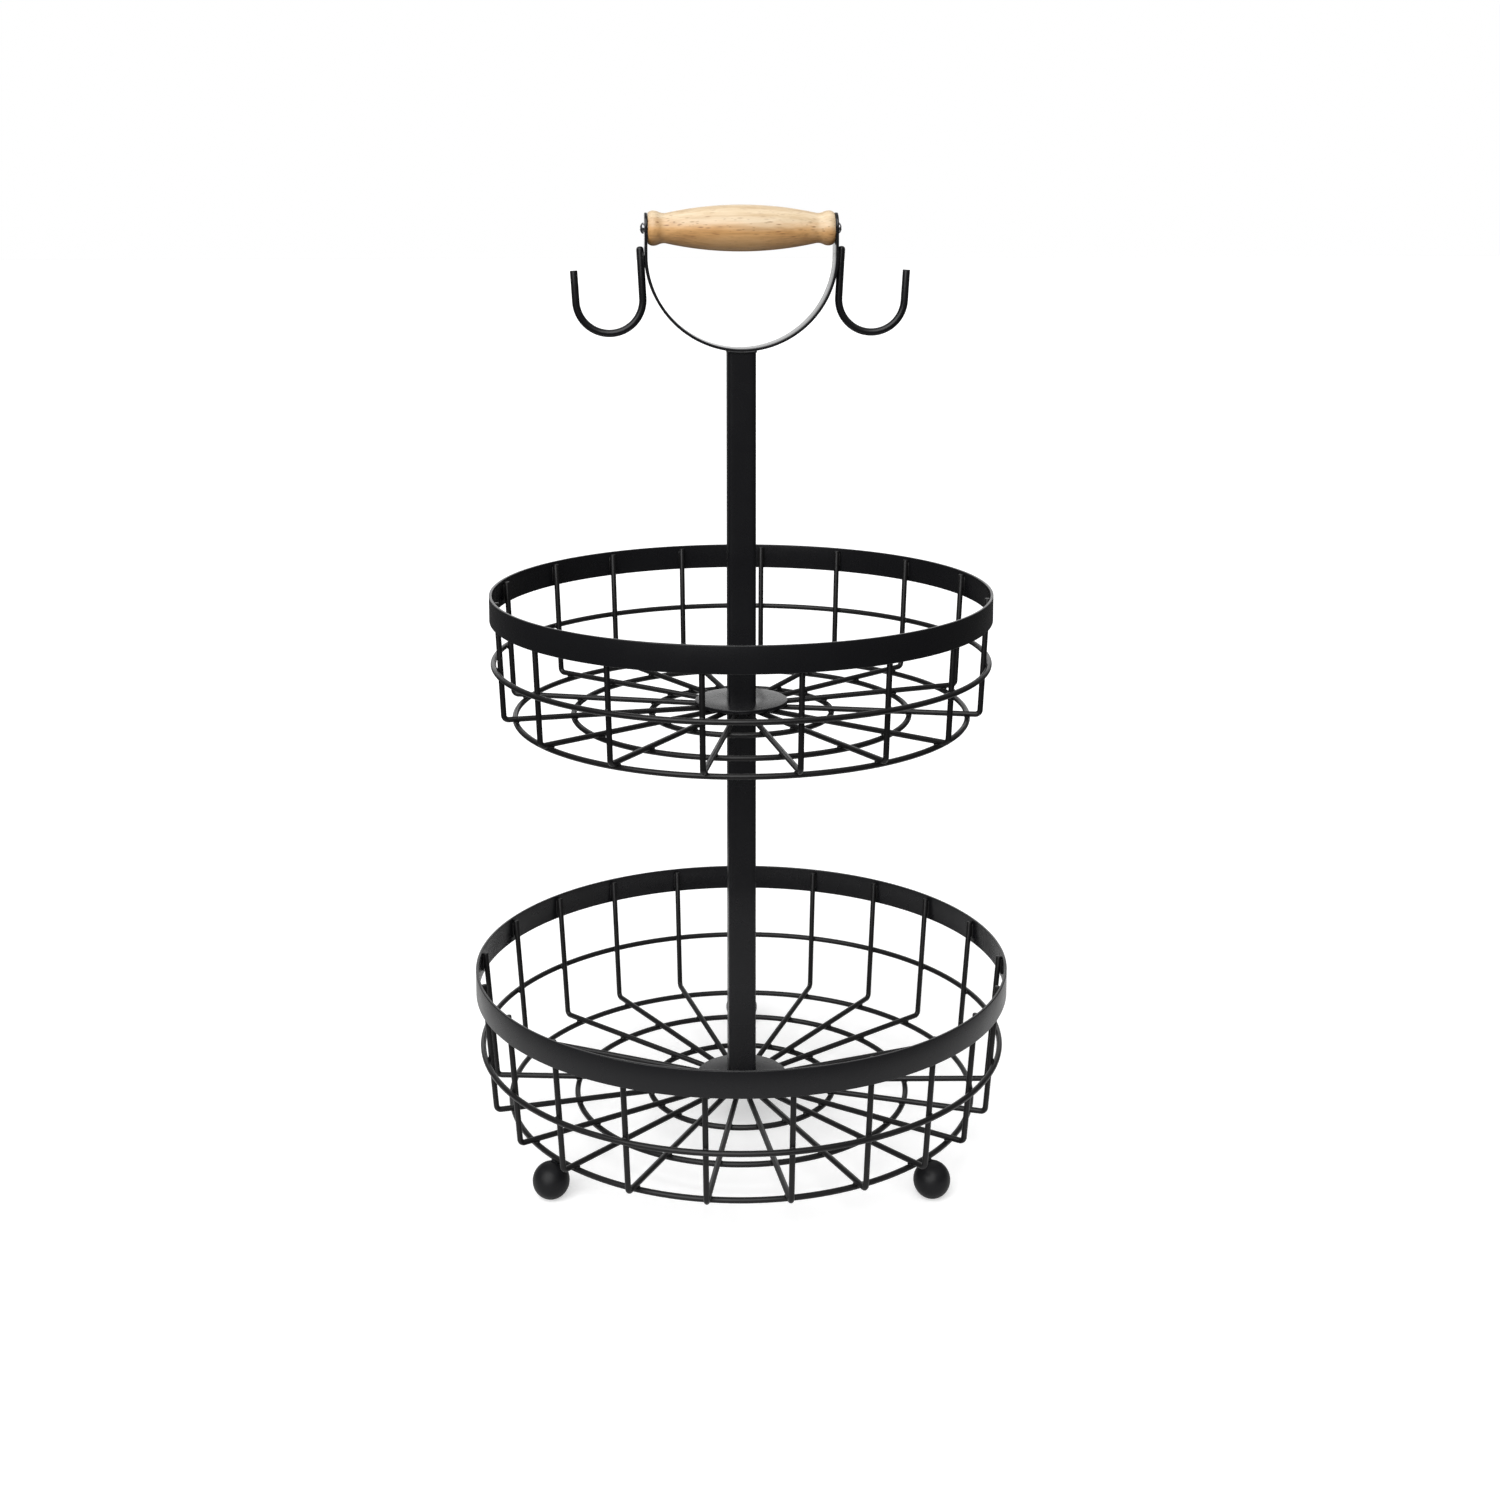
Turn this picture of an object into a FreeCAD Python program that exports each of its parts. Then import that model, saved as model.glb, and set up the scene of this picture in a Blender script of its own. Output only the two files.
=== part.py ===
"""Two-tier wire basket stand with a turned wooden grip and two side hooks, in millimetres.

The origin is on the table under the pole's axis. +Z is up, +X runs along the grip, the front is -Y.
Angles about the pole are counted from the front, towards +X.
"""
import FreeCAD
import Part
import Sketcher
import math
import os
import re

# Driving dimensions: the name, the value and what it measures
SIZES = {
    "wire_diameter": (3.0, "basket wire and rings"),
    "weld_gap": (0.05, "room for the weld where two pieces are joined side by side"),
    "wire_bend_radius": (2.6, "centreline bend from floor to wall"),
    "wire_below_rim": (1.3, "wire end below the rim's top edge"),
    "band_height": (14.0, "flat rim bar"),
    "band_thickness": (1.5, "flat rim bar"),
    "band_edge_radius": (0.4, "rounded edges of the rim bar"),
    "lower_rim_diameter": (290.0, "over the rim bar"),
    "lower_depth": (72.05, "floor wire's axis to the rim's top edge"),
    "lower_taper": (5.75, "wire's corner inside its top end"),
    "lower_side_ring_rise": (28.65, "side ring above the floor wires"),
    "lower_outer_ring_inset": (9.6, "outer floor ring inside the wires' corners"),
    "lower_middle_ring_radius": (90.6, "floor ring"),
    "lower_inner_ring_radius": (50.8, "floor ring"),
    "upper_rim_diameter": (269.6, "over the rim bar"),
    "upper_depth": (64.35, "floor wire's axis to the rim's top edge"),
    "upper_taper": (3.25, "wire's corner inside its top end"),
    "upper_side_ring_rise": (26.85, "side ring above the floor wires"),
    "upper_outer_ring_inset": (6.7, "outer floor ring inside the wires' corners"),
    "upper_middle_ring_radius": (90.6, "floor ring"),
    "upper_inner_ring_radius": (48.8, "floor ring"),
    "plate_diameter": (50.0, "round plate over the inner wire ends"),
    "plate_thickness": (2.0, "round plate"),
    "radial_clearance": (2.9, "inner wire ends clear of the pole's corners"),
    "foot_diameter": (19.0, "ball foot"),
    "foot_flat_diameter": (6.0, "flat that the ball rests on"),
    "foot_outset": (3.5, "ball's centre outside the outer floor ring"),
    "foot_angle": (48.6, "each front ball from the front, degrees"),
    "foot_turn": (-4.3, "all balls turned about the pole, degrees"),
    "pole_width": (15.0, "square tube"),
    "pole_wall": (1.2, "square tube"),
    "pole_corner_radius": (2.0, "square tube, outside"),
    "lower_pole_length": (211.0, "between the two plates"),
    "upper_pole_length": (189.0, "upper plate to the lowest point of the strap"),
    "insert_length": (16.0, "threaded plug in a pole's end"),
    "fit_gap": (0.05, "room on each side of a pressed or threaded fit"),
    "stud_diameter": (6.0, "stud and base screw"),
    "stud_grip": (13.0, "stud or base screw inside a plug"),
    "hole_clearance": (0.2, "round the stud in a plate"),
    "base_head_diameter": (12.0, "flanged head of the base screw"),
    "base_head_height": (3.2, "flanged head of the base screw"),
    "base_head_flat": (6.0, "flat round the socket"),
    "base_flange_thickness": (1.1, "flange of the base screw"),
    "base_socket_width": (4.0, "hexagon socket across its flats"),
    "base_socket_depth": (2.0, "hexagon socket"),
    "strap_thickness": (1.5, "handle strap"),
    "strap_width": (16.0, "handle strap"),
    "ear_margin": (8.2, "ear's top above the grip's axis"),
    "ear_flat": (1.0, "flat between the round corners of an ear"),
    "grip_rise": (13.8, "grip's axis above the centre of the strap's bend"),
    "grip_length": (98.4, "turned grip"),
    "grip_end_gap": (0.3, "grip to ear, and ear to screw head"),
    "neck_diameter": (15.8, "narrowest part of the grip"),
    "neck_from_end": (8.6, "neck to the grip's end"),
    "neck_round": (5.0, "hollow of the neck"),
    "belly_rise": (4.4, "grip's middle above its neck"),
    "bead_rise": (1.35, "end bead above the neck"),
    "bead_from_end": (2.8, "top of the bead to the grip's end"),
    "end_drop": (1.2, "bead's top down to the end face"),
    "screw_diameter": (4.0, "grip screw"),
    "screw_depth": (20.0, "grip screw inside the wood"),
    "pilot_spare": (1.0, "pilot hole past the screw's point"),
    "screw_play": (0.075, "round the screw in an ear"),
    "screw_head_diameter": (5.8, "pan head"),
    "screw_head_height": (2.0, "pan head"),
    "screw_head_edge": (0.8, "straight edge of the pan head"),
    "recess_length": (3.0, "cross recess"),
    "recess_width": (0.9, "cross recess"),
    "recess_depth": (0.8, "cross recess"),
    "hook_wire_diameter": (4.0, "hook"),
    "hook_bend_radius": (17.6, "hook's centreline"),
    "hook_shank_length": (27.2, "weld end to the start of the bend"),
    "hook_tip_length": (16.6, "end of the bend to the open end"),
    "hook_tip_lean": (0.5, "open end leaning away from the shank, degrees"),
    "hook_lean": (3.0, "whole hook turned about the centre of the strap's bend, degrees"),
    "hook_weld_reach": (7.1, "weld end along the shank from where it touches the strap"),
    "hook_weld_end_flat": (0.8, "flat left on the dressed weld end of the hook"),
    "hook_tip_round": (0.3, "deburred open end of the hook"),
}

# Angle of every wire from the front, degrees
WIRE_ANGLES = {
    "lower": (-79, -61.5, -45.5, -28.5, -11.5, 6, 22.5, 38.5, 53.5, 69, 86, 107.5, 125, 141, 157.5, 174.5,
              192, 209, 225.5, 242.5, 263),
    "upper": (-81, -56, -34, -12.5, 8.5, 29, 50, 77, 106, 129, 150, 170.5, 191.5, 211, 230, 254.5),
}

# Places and sizes that follow from the driving dimensions
PLACES = {
    "wire_radius": "wire_diameter / 2",
    "weld_reach": "wire_diameter + weld_gap",
    "foot_centre": "sqrt((foot_diameter / 2)^2 - (foot_flat_diameter / 2)^2)",
    "foot_reach": "foot_diameter / 2 + wire_radius + weld_gap",
    "lower_rings": "foot_centre + sqrt(foot_reach^2 - foot_outset^2)",
    "lower_floor": "lower_rings + weld_reach",
    "lower_plate": "lower_floor + wire_radius + weld_gap",
    "lower_seat": "lower_plate + plate_thickness",
    "upper_plate": "lower_seat + lower_pole_length",
    "upper_floor": "upper_plate - weld_gap - wire_radius",
    "upper_rings": "upper_floor - weld_reach",
    "upper_seat": "upper_plate + plate_thickness",
    "radial_end": "(pole_width / 2 - pole_corner_radius) * sqrt(2) + pole_corner_radius + radial_clearance",
    "plug_half": "pole_width / 2 - pole_wall - fit_gap",
    "plug_corner": "pole_corner_radius - pole_wall - fit_gap",
    "bore_radius": "stud_diameter / 2 + fit_gap",
    "plate_hole_radius": "stud_diameter / 2 + hole_clearance",
    "strap_inner": "grip_length / 2 + grip_end_gap",
    "strap_outer": "strap_inner + strap_thickness",
    "ear_corner": "(strap_width - ear_flat) / 2",
    "strap_bow": "strap_outer - sqrt(strap_outer^2 - (pole_width / 2)^2)",
    "bend_centre": "upper_seat + upper_pole_length + weld_gap + strap_outer",
    "grip_axis": "bend_centre + grip_rise",
    "neck_place": "grip_length / 2 - neck_from_end",
    "neck_radius": "neck_diameter / 2",
    "belly_radius": "neck_radius + belly_rise",
    "belly_curve": "(neck_place^2 - 2 * neck_round * belly_rise + belly_rise^2) / (2 * belly_rise)",
    "belly_share": "belly_curve / (belly_curve + neck_round)",
    "bead_place": "grip_length / 2 - bead_from_end",
    "bead_radius": "neck_radius + bead_rise",
    "bead_curve": "((bead_place - neck_place)^2 + bead_rise^2) / (4 * bead_rise)",
    "end_radius": "bead_radius - end_drop",
    "end_curve": "(bead_from_end^2 + end_drop^2) / (2 * end_drop)",
    "screw_radius": "screw_diameter / 2",
    "screw_point": "grip_length / 2 - screw_depth",
    "pilot_radius": "screw_radius + fit_gap",
    "pilot_end": "screw_point - pilot_spare",
    "screw_seat": "strap_outer + grip_end_gap",
    "screw_top": "screw_seat + screw_head_height",
    "screw_head_radius": "screw_head_diameter / 2",
    "dome_rise": "screw_head_height - screw_head_edge",
    "dome_curve": "(screw_head_radius^2 + dome_rise^2) / (2 * dome_rise)",
    "hook_radius": "hook_wire_diameter / 2",
    "hook_weld_end_round": "hook_radius - hook_weld_end_flat / 2",
    "hook_shank": "strap_outer + weld_gap + hook_radius",
    "hook_top_out": "hook_shank * cos(hook_lean) + hook_weld_reach * sin(hook_lean)",
    "hook_top": "bend_centre - hook_shank * sin(hook_lean) + hook_weld_reach * cos(hook_lean)",
}

# Places that both baskets work out alike, with the basket's name in front
BASKET_PLACES = {
    "rim_radius": "{0}_rim_diameter / 2",
    "rim_top": "{0}_floor + {0}_depth",
    "wire_top_radius": "{0}_rim_radius - band_thickness - weld_gap - wire_radius",
    "floor_radius": "{0}_wire_top_radius - {0}_taper",
    "outer_ring_radius": "{0}_floor_radius - {0}_outer_ring_inset",
    "wire_rise": "{0}_depth - wire_below_rim",
    "lean": "atan({0}_taper / {0}_wire_rise)",
    "bend_reach": "wire_bend_radius * tan(45 deg - {0}_lean / 2)",
    "side_ring": "{0}_floor + {0}_side_ring_rise",
    "side_ring_radius": "{0}_floor_radius + {0}_side_ring_rise * tan({0}_lean) + weld_reach / cos({0}_lean)",
}
BASKETS = ("lower", "upper")
for basket in BASKETS:
    for spot, rule in BASKET_PLACES.items():
        PLACES[f"{basket}_{spot}"] = rule.format(basket)

STRAIGHT = None
LEFT = 1
RIGHT = -1
UP = FreeCAD.Vector(0, 0, 1)
CLOSE = 0.001
FULL_TURN = 360
SOCKET_CORNERS = range(15, FULL_TURN, 60)

doc = FreeCAD.newDocument("tiered_basket")
sheet = doc.addObject("Spreadsheet::Sheet", "Sizes")
for row, (name, (number, note)) in enumerate(SIZES.items(), start=1):
    sheet.set(f"A{row}", name)
    sheet.set(f"B{row}", str(number))
    sheet.set(f"C{row}", note)
    sheet.setAlias(f"B{row}", name)
doc.recompute()
nodes = []


def formula(text):
    """Write a formula of named sizes and places as one of the sheet's cells."""
    def spell(word):
        name = word.group()
        if name in SIZES:
            return "Sizes." + name
        if name in PLACES:
            return "(" + formula(PLACES[name]) + ")"
        return name
    return re.sub(r"[a-z_]+", spell, text)


def measure(text):
    """The number that a formula gives now."""
    return float(sheet.evalExpression(formula(text)))


def bind(thing, **rules):
    """Tie properties of a document object to formulas."""
    for name, rule in rules.items():
        thing.setExpression(name, formula(rule))


def yaw(angle):
    """The turn about Z, within half a turn each way, that takes +X to an angle from the front."""
    return (angle + FULL_TURN / 4) % FULL_TURN - FULL_TURN / 2


def place(thing, turn="0", tilt="0", **spots):
    """Tie an object's place (x, y, z), its turn about the pole and its tilt outwards to formulas."""
    thing.setExpression("Placement.Rotation.Yaw", formula(turn))
    thing.setExpression("Placement.Rotation.Pitch", formula(tilt))
    for axis, rule in spots.items():
        thing.setExpression(f"Placement.Base.{axis}", formula(rule))


def keep(thing, label):
    """List an object as a sub-part under its own name."""
    thing.Label = label
    nodes.append(thing)
    return thing


def new_body(label):
    """An empty body, which is not yet listed as a sub-part."""
    thing = doc.addObject("PartDesign::Body", label)
    thing.Label = label
    return thing


def new_sketch(body, plane, offset=None):
    """A sketch on one of the body's own planes, moved along its normal."""
    sketch = body.newObject("Sketcher::SketchObject", "Sketch")
    support = next(item for item in body.Origin.OriginFeatures if item.Role == plane)
    sketch.AttachmentSupport = (support, [""])
    sketch.MapMode = "FlatFace"
    if offset is not None:
        sketch.setExpression("AttachmentOffset.Base.z", formula(offset))
    return sketch


def fix(sketch, kind, item, rule, *point):
    """One dimension of a sketch, tied to a formula."""
    if kind == "Radius":
        index = sketch.addConstraint(Sketcher.Constraint(kind, item, measure(rule)))
    else:
        index = sketch.addConstraint(Sketcher.Constraint(kind, -1, 1, item, *point, measure(rule)))
    sketch.setExpression(f"Constraints[{index}]", formula(rule))


def pin(sketch, item, end, corner):
    """Fix a point of a sketch at a corner's two formulas."""
    for kind, rule in (("DistanceX", corner[0]), ("DistanceY", corner[1])):
        if rule == "0":
            axis = -2 if kind == "DistanceX" else -1
            sketch.addConstraint(Sketcher.Constraint("PointOnObject", item, end, axis))
        else:
            fix(sketch, kind, item, rule, end)


def draw_arc(sketch, start, end, radius, side):
    """A short arc between two points, with its centre left or right of the way."""
    way = end - start
    reach = math.sqrt(max(radius ** 2 - (way.Length / 2) ** 2, 0.0))
    normal = FreeCAD.Vector(-way.y, way.x, 0).normalize() * side
    centre = (start + end) * 0.5 + normal * reach
    first, last = (start, end) if side == LEFT else (end, start)
    angles = [math.atan2(point.y - centre.y, point.x - centre.x) for point in (first, last)]
    circle = Part.Circle(centre, UP, radius)
    return sketch.addGeometry(Part.ArcOfCircle(circle, *angles))


def draw_path(sketch, corners, closed):
    """Lines and arcs from corner to corner.

    A corner is (x, y) where the next stretch is straight, or (x, y, radius, side) where it is an arc.
    """
    points = [FreeCAD.Vector(measure(corner[0]), measure(corner[1]), 0) for corner in corners]
    stretches = len(corners) if closed else len(corners) - 1
    ends = []
    for number in range(stretches):
        start = points[number]
        end = points[(number + 1) % len(points)]
        bend = corners[number][2:] or STRAIGHT
        if bend is STRAIGHT:
            item = sketch.addGeometry(Part.LineSegment(start, end))
            ends.append((item, 1, 2))
            continue
        item = draw_arc(sketch, start, end, measure(bend[0]), bend[1])
        ends.append((item, 1, 2) if bend[1] == LEFT else (item, 2, 1))
        fix(sketch, "Radius", item, bend[0])
    for number, (item, first, last) in enumerate(ends):
        pin(sketch, item, first, corners[number])
        if closed or number + 1 < stretches:
            other, start, _ = ends[(number + 1) % stretches]
            sketch.addConstraint(Sketcher.Constraint("Coincident", item, last, other, start))
        else:
            pin(sketch, item, last, corners[-1])


def draw_circle(sketch, radius, height="0"):
    """A circle on the sketch's upright axis."""
    centre = FreeCAD.Vector(0, measure(height), 0)
    item = sketch.addGeometry(Part.Circle(centre, UP, measure(radius)))
    fix(sketch, "Radius", item, radius)
    pin(sketch, item, 3, ("0", height))


def rounded_square(half, corner):
    """Corners of a square with round corners, anticlockwise."""
    flat = f"{half} - {corner}"
    return [
        (f"-({flat})", f"-({half})"),
        (flat, f"-({half})", corner, LEFT),
        (half, f"-({flat})"),
        (half, flat, corner, LEFT),
        (flat, half),
        (f"-({flat})", half, corner, LEFT),
        (f"-({half})", flat),
        (f"-({half})", f"-({flat})", corner, LEFT),
    ]


def add_pad(body, sketch, length, both_ways=False):
    """Thicken a sketch."""
    pad = body.newObject("PartDesign::Pad", "Pad")
    pad.Profile = sketch
    if both_ways:
        pad.SideType = "Symmetric"
    bind(pad, Length=length)
    return pad


def add_pocket(body, sketch, depth):
    """Cut a sketch into a body to both sides of it, and stop if that removes nothing."""
    doc.recompute()
    before = body.Shape.Volume
    pocket = body.newObject("PartDesign::Pocket", "Pocket")
    pocket.Profile = sketch
    pocket.SideType = "Symmetric"
    bind(pocket, Length=depth)
    doc.recompute()
    if body.Shape.Volume >= before:
        raise RuntimeError(f"{body.Label}: a cut removes nothing")


def add_fillet(body, feature, wanted, radius):
    """Round the edges of a feature that a test picks."""
    doc.recompute()
    names = [f"Edge{i}" for i, edge in enumerate(feature.Shape.Edges, start=1) if wanted(edge)]
    fillet = body.newObject("PartDesign::Fillet", "Fillet")
    fillet.Base = (feature, names)
    bind(fillet, Radius=radius)
    return fillet


def turned(label, corners, axis):
    """A body turned from a half outline about the sketch's upright or level axis."""
    body = new_body(label)
    sketch = new_sketch(body, "XZ_Plane")
    draw_path(sketch, corners, closed=True)
    turning = body.newObject("PartDesign::Revolution", "Turning")
    turning.Profile = sketch
    turning.ReferenceAxis = (sketch, [axis])
    turning.Angle = FULL_TURN
    return body


def bent_wire(label, corners, radius, section_plane, section_offset=None):
    """A body of round wire along a path in the upright plane through the pole."""
    body = new_body(label)
    path = new_sketch(body, "XZ_Plane")
    draw_path(path, corners, closed=False)
    section = new_sketch(body, section_plane, section_offset)
    draw_circle(section, radius)
    pipe = body.newObject("PartDesign::AdditivePipe", "Wire")
    pipe.Profile = section
    pipe.Spine = (path, [])
    return body, pipe


def group(label, members):
    """Several alike pieces under one name."""
    compound = doc.addObject("Part::Compound", label)
    compound.Links = members
    return keep(compound, label)


def make_ring(label, radius, height):
    """A closed ring of basket wire."""
    ring = doc.addObject("Part::Torus", label)
    bind(ring, Radius1=radius, Radius2="wire_radius")
    place(ring, z=height)
    keep(ring, label)


def make_rim(basket):
    """The flat bar round a basket's mouth, with softened edges."""
    outer = f"{basket}_rim_radius"
    inner = f"{basket}_rim_radius - band_thickness"
    soft = "band_edge_radius"
    body = turned(f"{basket}_rim_band", [
        (inner, soft, soft, LEFT),
        (f"{inner} + {soft}", "0"),
        (f"{outer} - {soft}", "0", soft, LEFT),
        (outer, soft),
        (outer, f"band_height - {soft}", soft, LEFT),
        (f"{outer} - {soft}", "band_height"),
        (f"{inner} + {soft}", "band_height", soft, LEFT),
        (inner, f"band_height - {soft}"),
    ], "V_Axis")
    place(body, z=f"{basket}_rim_top - band_height")
    keep(body, body.Label)


def make_wires(basket):
    """The L-shaped wires: in along the floor, up the wall to the inside of the rim bar."""
    corners = [
        ("radial_end", "0"),
        (f"{basket}_floor_radius - {basket}_bend_reach", "0", "wire_bend_radius", LEFT),
        (f"{basket}_floor_radius + {basket}_bend_reach * sin({basket}_lean)",
         f"{basket}_bend_reach * cos({basket}_lean)"),
        (f"{basket}_wire_top_radius", f"{basket}_wire_rise"),
    ]
    for number, angle in enumerate(WIRE_ANGLES[basket], start=1):
        label = f"{basket}_wire_{number:02d}"
        body, _ = bent_wire(label, corners, "wire_radius", "YZ_Plane", "radial_end")
        place(body, turn=f"{yaw(angle)}", z=f"{basket}_floor")
        keep(body, label)


def make_basket(basket):
    """One basket: rim, wires, side ring, three floor rings and the centre plate."""
    make_rim(basket)
    make_ring(f"{basket}_side_ring", f"{basket}_side_ring_radius", f"{basket}_side_ring")
    for ring in ("outer", "middle", "inner"):
        make_ring(f"{basket}_floor_ring_{ring}", f"{basket}_{ring}_ring_radius", f"{basket}_rings")
    plate = turned(f"{basket}_centre_plate", [
        ("plate_hole_radius", "0"),
        ("plate_diameter / 2", "0"),
        ("plate_diameter / 2", "plate_thickness"),
        ("plate_hole_radius", "plate_thickness"),
    ], "V_Axis")
    place(plate, z=f"{basket}_plate")
    keep(plate, plate.Label)
    make_wires(basket)


def make_feet():
    """Three balls welded under the outer floor ring, each with a small flat to rest on."""
    balls = []
    angles = ("foot_angle", "180", "-foot_angle")
    out = "(lower_outer_ring_radius + foot_outset)"
    for angle in angles:
        ball = doc.addObject("Part::Sphere", "Foot")
        bind(ball, Radius="foot_diameter / 2", Angle1="-acos(foot_flat_diameter / foot_diameter)")
        across = f"{out} * sin({angle} + foot_turn)"
        back = f"-{out} * cos({angle} + foot_turn)"
        place(ball, x=across, y=back, z="foot_centre")
        balls.append(ball)
    group("ball_feet", balls)


def make_pole(label, seat, length):
    """A length of square tube standing on a plate."""
    body = new_body(label)
    sketch = new_sketch(body, "XY_Plane")
    draw_path(sketch, rounded_square("pole_width / 2", "pole_corner_radius"), closed=True)
    inside = rounded_square("(pole_width / 2 - pole_wall)", "(pole_corner_radius - pole_wall)")
    draw_path(sketch, inside, closed=True)
    add_pad(body, sketch, length)
    place(body, z=seat)
    return keep(body, label)


def make_poles():
    """Lower and upper pole. The upper one is cut to the round of the strap that it carries."""
    make_pole("lower_pole", "lower_seat", "lower_pole_length")
    body = make_pole("upper_pole", "upper_seat", "upper_pole_length + strap_bow")
    saddle = new_sketch(body, "XZ_Plane")
    draw_circle(saddle, "strap_outer + weld_gap", "bend_centre - upper_seat")
    add_pocket(body, saddle, "2 * pole_width")


def make_fastenings():
    """Threaded plugs in the poles, the stud between the poles and the screw under the base."""
    seats = ("lower_seat", "upper_plate - insert_length", "upper_seat")
    plugs = []
    for seat in seats:
        body = new_body("Plug")
        sketch = new_sketch(body, "XY_Plane")
        draw_path(sketch, rounded_square("plug_half", "plug_corner"), closed=True)
        draw_circle(sketch, "bore_radius")
        add_pad(body, sketch, "insert_length")
        place(body, z=seat)
        plugs.append(body)
    group("pole_plugs", plugs)

    stud = doc.addObject("Part::Cylinder", "joining_stud")
    bind(stud, Radius="stud_diameter / 2", Height="2 * stud_grip + plate_thickness")
    place(stud, z="upper_plate - stud_grip")
    keep(stud, "joining_stud")

    shank = "stud_diameter / 2"
    head = "base_head_diameter / 2"
    screw = turned("base_screw", [
        ("0", "-base_head_height"),
        ("base_head_flat / 2", "-base_head_height"),
        (head, "-base_flange_thickness"),
        (head, "0"),
        (shank, "0"),
        (shank, "plate_thickness + stud_grip"),
        ("0", "plate_thickness + stud_grip"),
    ], "V_Axis")
    socket = new_sketch(screw, "XY_Plane", "-base_head_height")
    reach = "base_socket_width / sqrt(3)"
    hexagon = [(f"{reach} * cos({turn})", f"{reach} * sin({turn})") for turn in SOCKET_CORNERS]
    draw_path(socket, hexagon, closed=True)
    add_pocket(screw, socket, "2 * base_socket_depth")
    place(screw, z="lower_plate")
    keep(screw, "base_screw")


def make_strap():
    """The flat strap bent to a D, with an ear at each end of the grip."""
    body = new_body("handle_strap")
    outline = new_sketch(body, "XZ_Plane")
    ear_top = "grip_rise + ear_margin"
    draw_path(outline, [
        ("-strap_outer", ear_top),
        ("-strap_outer", "0", "strap_outer", LEFT),
        ("0", "-strap_outer", "strap_outer", LEFT),
        ("strap_outer", "0"),
        ("strap_outer", ear_top),
        ("strap_inner", ear_top),
        ("strap_inner", "0", "strap_inner", RIGHT),
        ("0", "-strap_inner", "strap_inner", RIGHT),
        ("-strap_inner", "0"),
        ("-strap_inner", ear_top),
    ], closed=True)
    pad = add_pad(body, outline, "strap_width", both_ways=True)
    top = measure(ear_top)

    def on_ear_corner(edge):
        level = all(abs(vertex.Z - top) < CLOSE for vertex in edge.Vertexes)
        return level and abs(edge.tangentAt(edge.FirstParameter).x) > 1 - CLOSE

    add_fillet(body, pad, on_ear_corner, "ear_corner")
    holes = new_sketch(body, "YZ_Plane")
    draw_circle(holes, "screw_radius + screw_play", "grip_rise")
    add_pocket(body, holes, "4 * strap_outer")
    place(body, z="bend_centre")
    keep(body, "handle_strap")


def make_grip():
    """The turned wooden grip: a belly, two hollow necks, two end beads and a pilot hole at each end."""
    belly_end = ("neck_place * belly_share",
                 "belly_radius - belly_curve + (neck_round - belly_rise + belly_curve) * belly_share")
    waist = ("(neck_place + bead_place) / 2", "(neck_radius + bead_radius) / 2")
    half = "grip_length / 2"
    body = turned("wooden_grip", [
        ("-pilot_end", "0"),
        ("pilot_end", "0"),
        ("pilot_end", "pilot_radius"),
        (half, "pilot_radius"),
        (half, "end_radius", "end_curve", LEFT),
        ("bead_place", "bead_radius", "bead_curve", LEFT),
        (*waist, "bead_curve", RIGHT),
        ("neck_place", "neck_radius", "neck_round", RIGHT),
        (*belly_end, "belly_curve", LEFT),
        ("0", "belly_radius", "belly_curve", LEFT),
        (f"-{belly_end[0]}", belly_end[1], "neck_round", RIGHT),
        ("-neck_place", "neck_radius", "bead_curve", RIGHT),
        (f"-{waist[0]}", waist[1], "bead_curve", LEFT),
        ("-bead_place", "bead_radius", "end_curve", LEFT),
        (f"-{half}", "end_radius"),
        (f"-{half}", "pilot_radius"),
        ("-pilot_end", "pilot_radius"),
    ], "H_Axis")
    place(body, z="grip_axis")
    keep(body, "wooden_grip")


def make_grip_screws():
    """A pan head screw through each ear into the grip's end."""
    arm = "recess_length / 2"
    slot = "recess_width / 2"
    screws = []
    for turn in ("0", "180"):
        body = turned("Grip_screw", [
            ("screw_point", "0"),
            ("screw_point + screw_radius", "screw_radius"),
            ("screw_seat", "screw_radius"),
            ("screw_seat", "screw_head_radius"),
            ("screw_seat + screw_head_edge", "screw_head_radius", "dome_curve", RIGHT),
            ("screw_top", "0"),
        ], "H_Axis")
        for wide, tall in ((arm, slot), (slot, arm)):
            recess = new_sketch(body, "YZ_Plane", "screw_top")
            draw_path(recess, [
                (f"-{wide}", f"-{tall}"),
                (wide, f"-{tall}"),
                (wide, tall),
                (f"-{wide}", tall),
            ], closed=True)
            add_pocket(body, recess, "2 * recess_depth")
        place(body, turn=turn, z="grip_axis")
        screws.append(body)
    group("grip_screws", screws)


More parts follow.
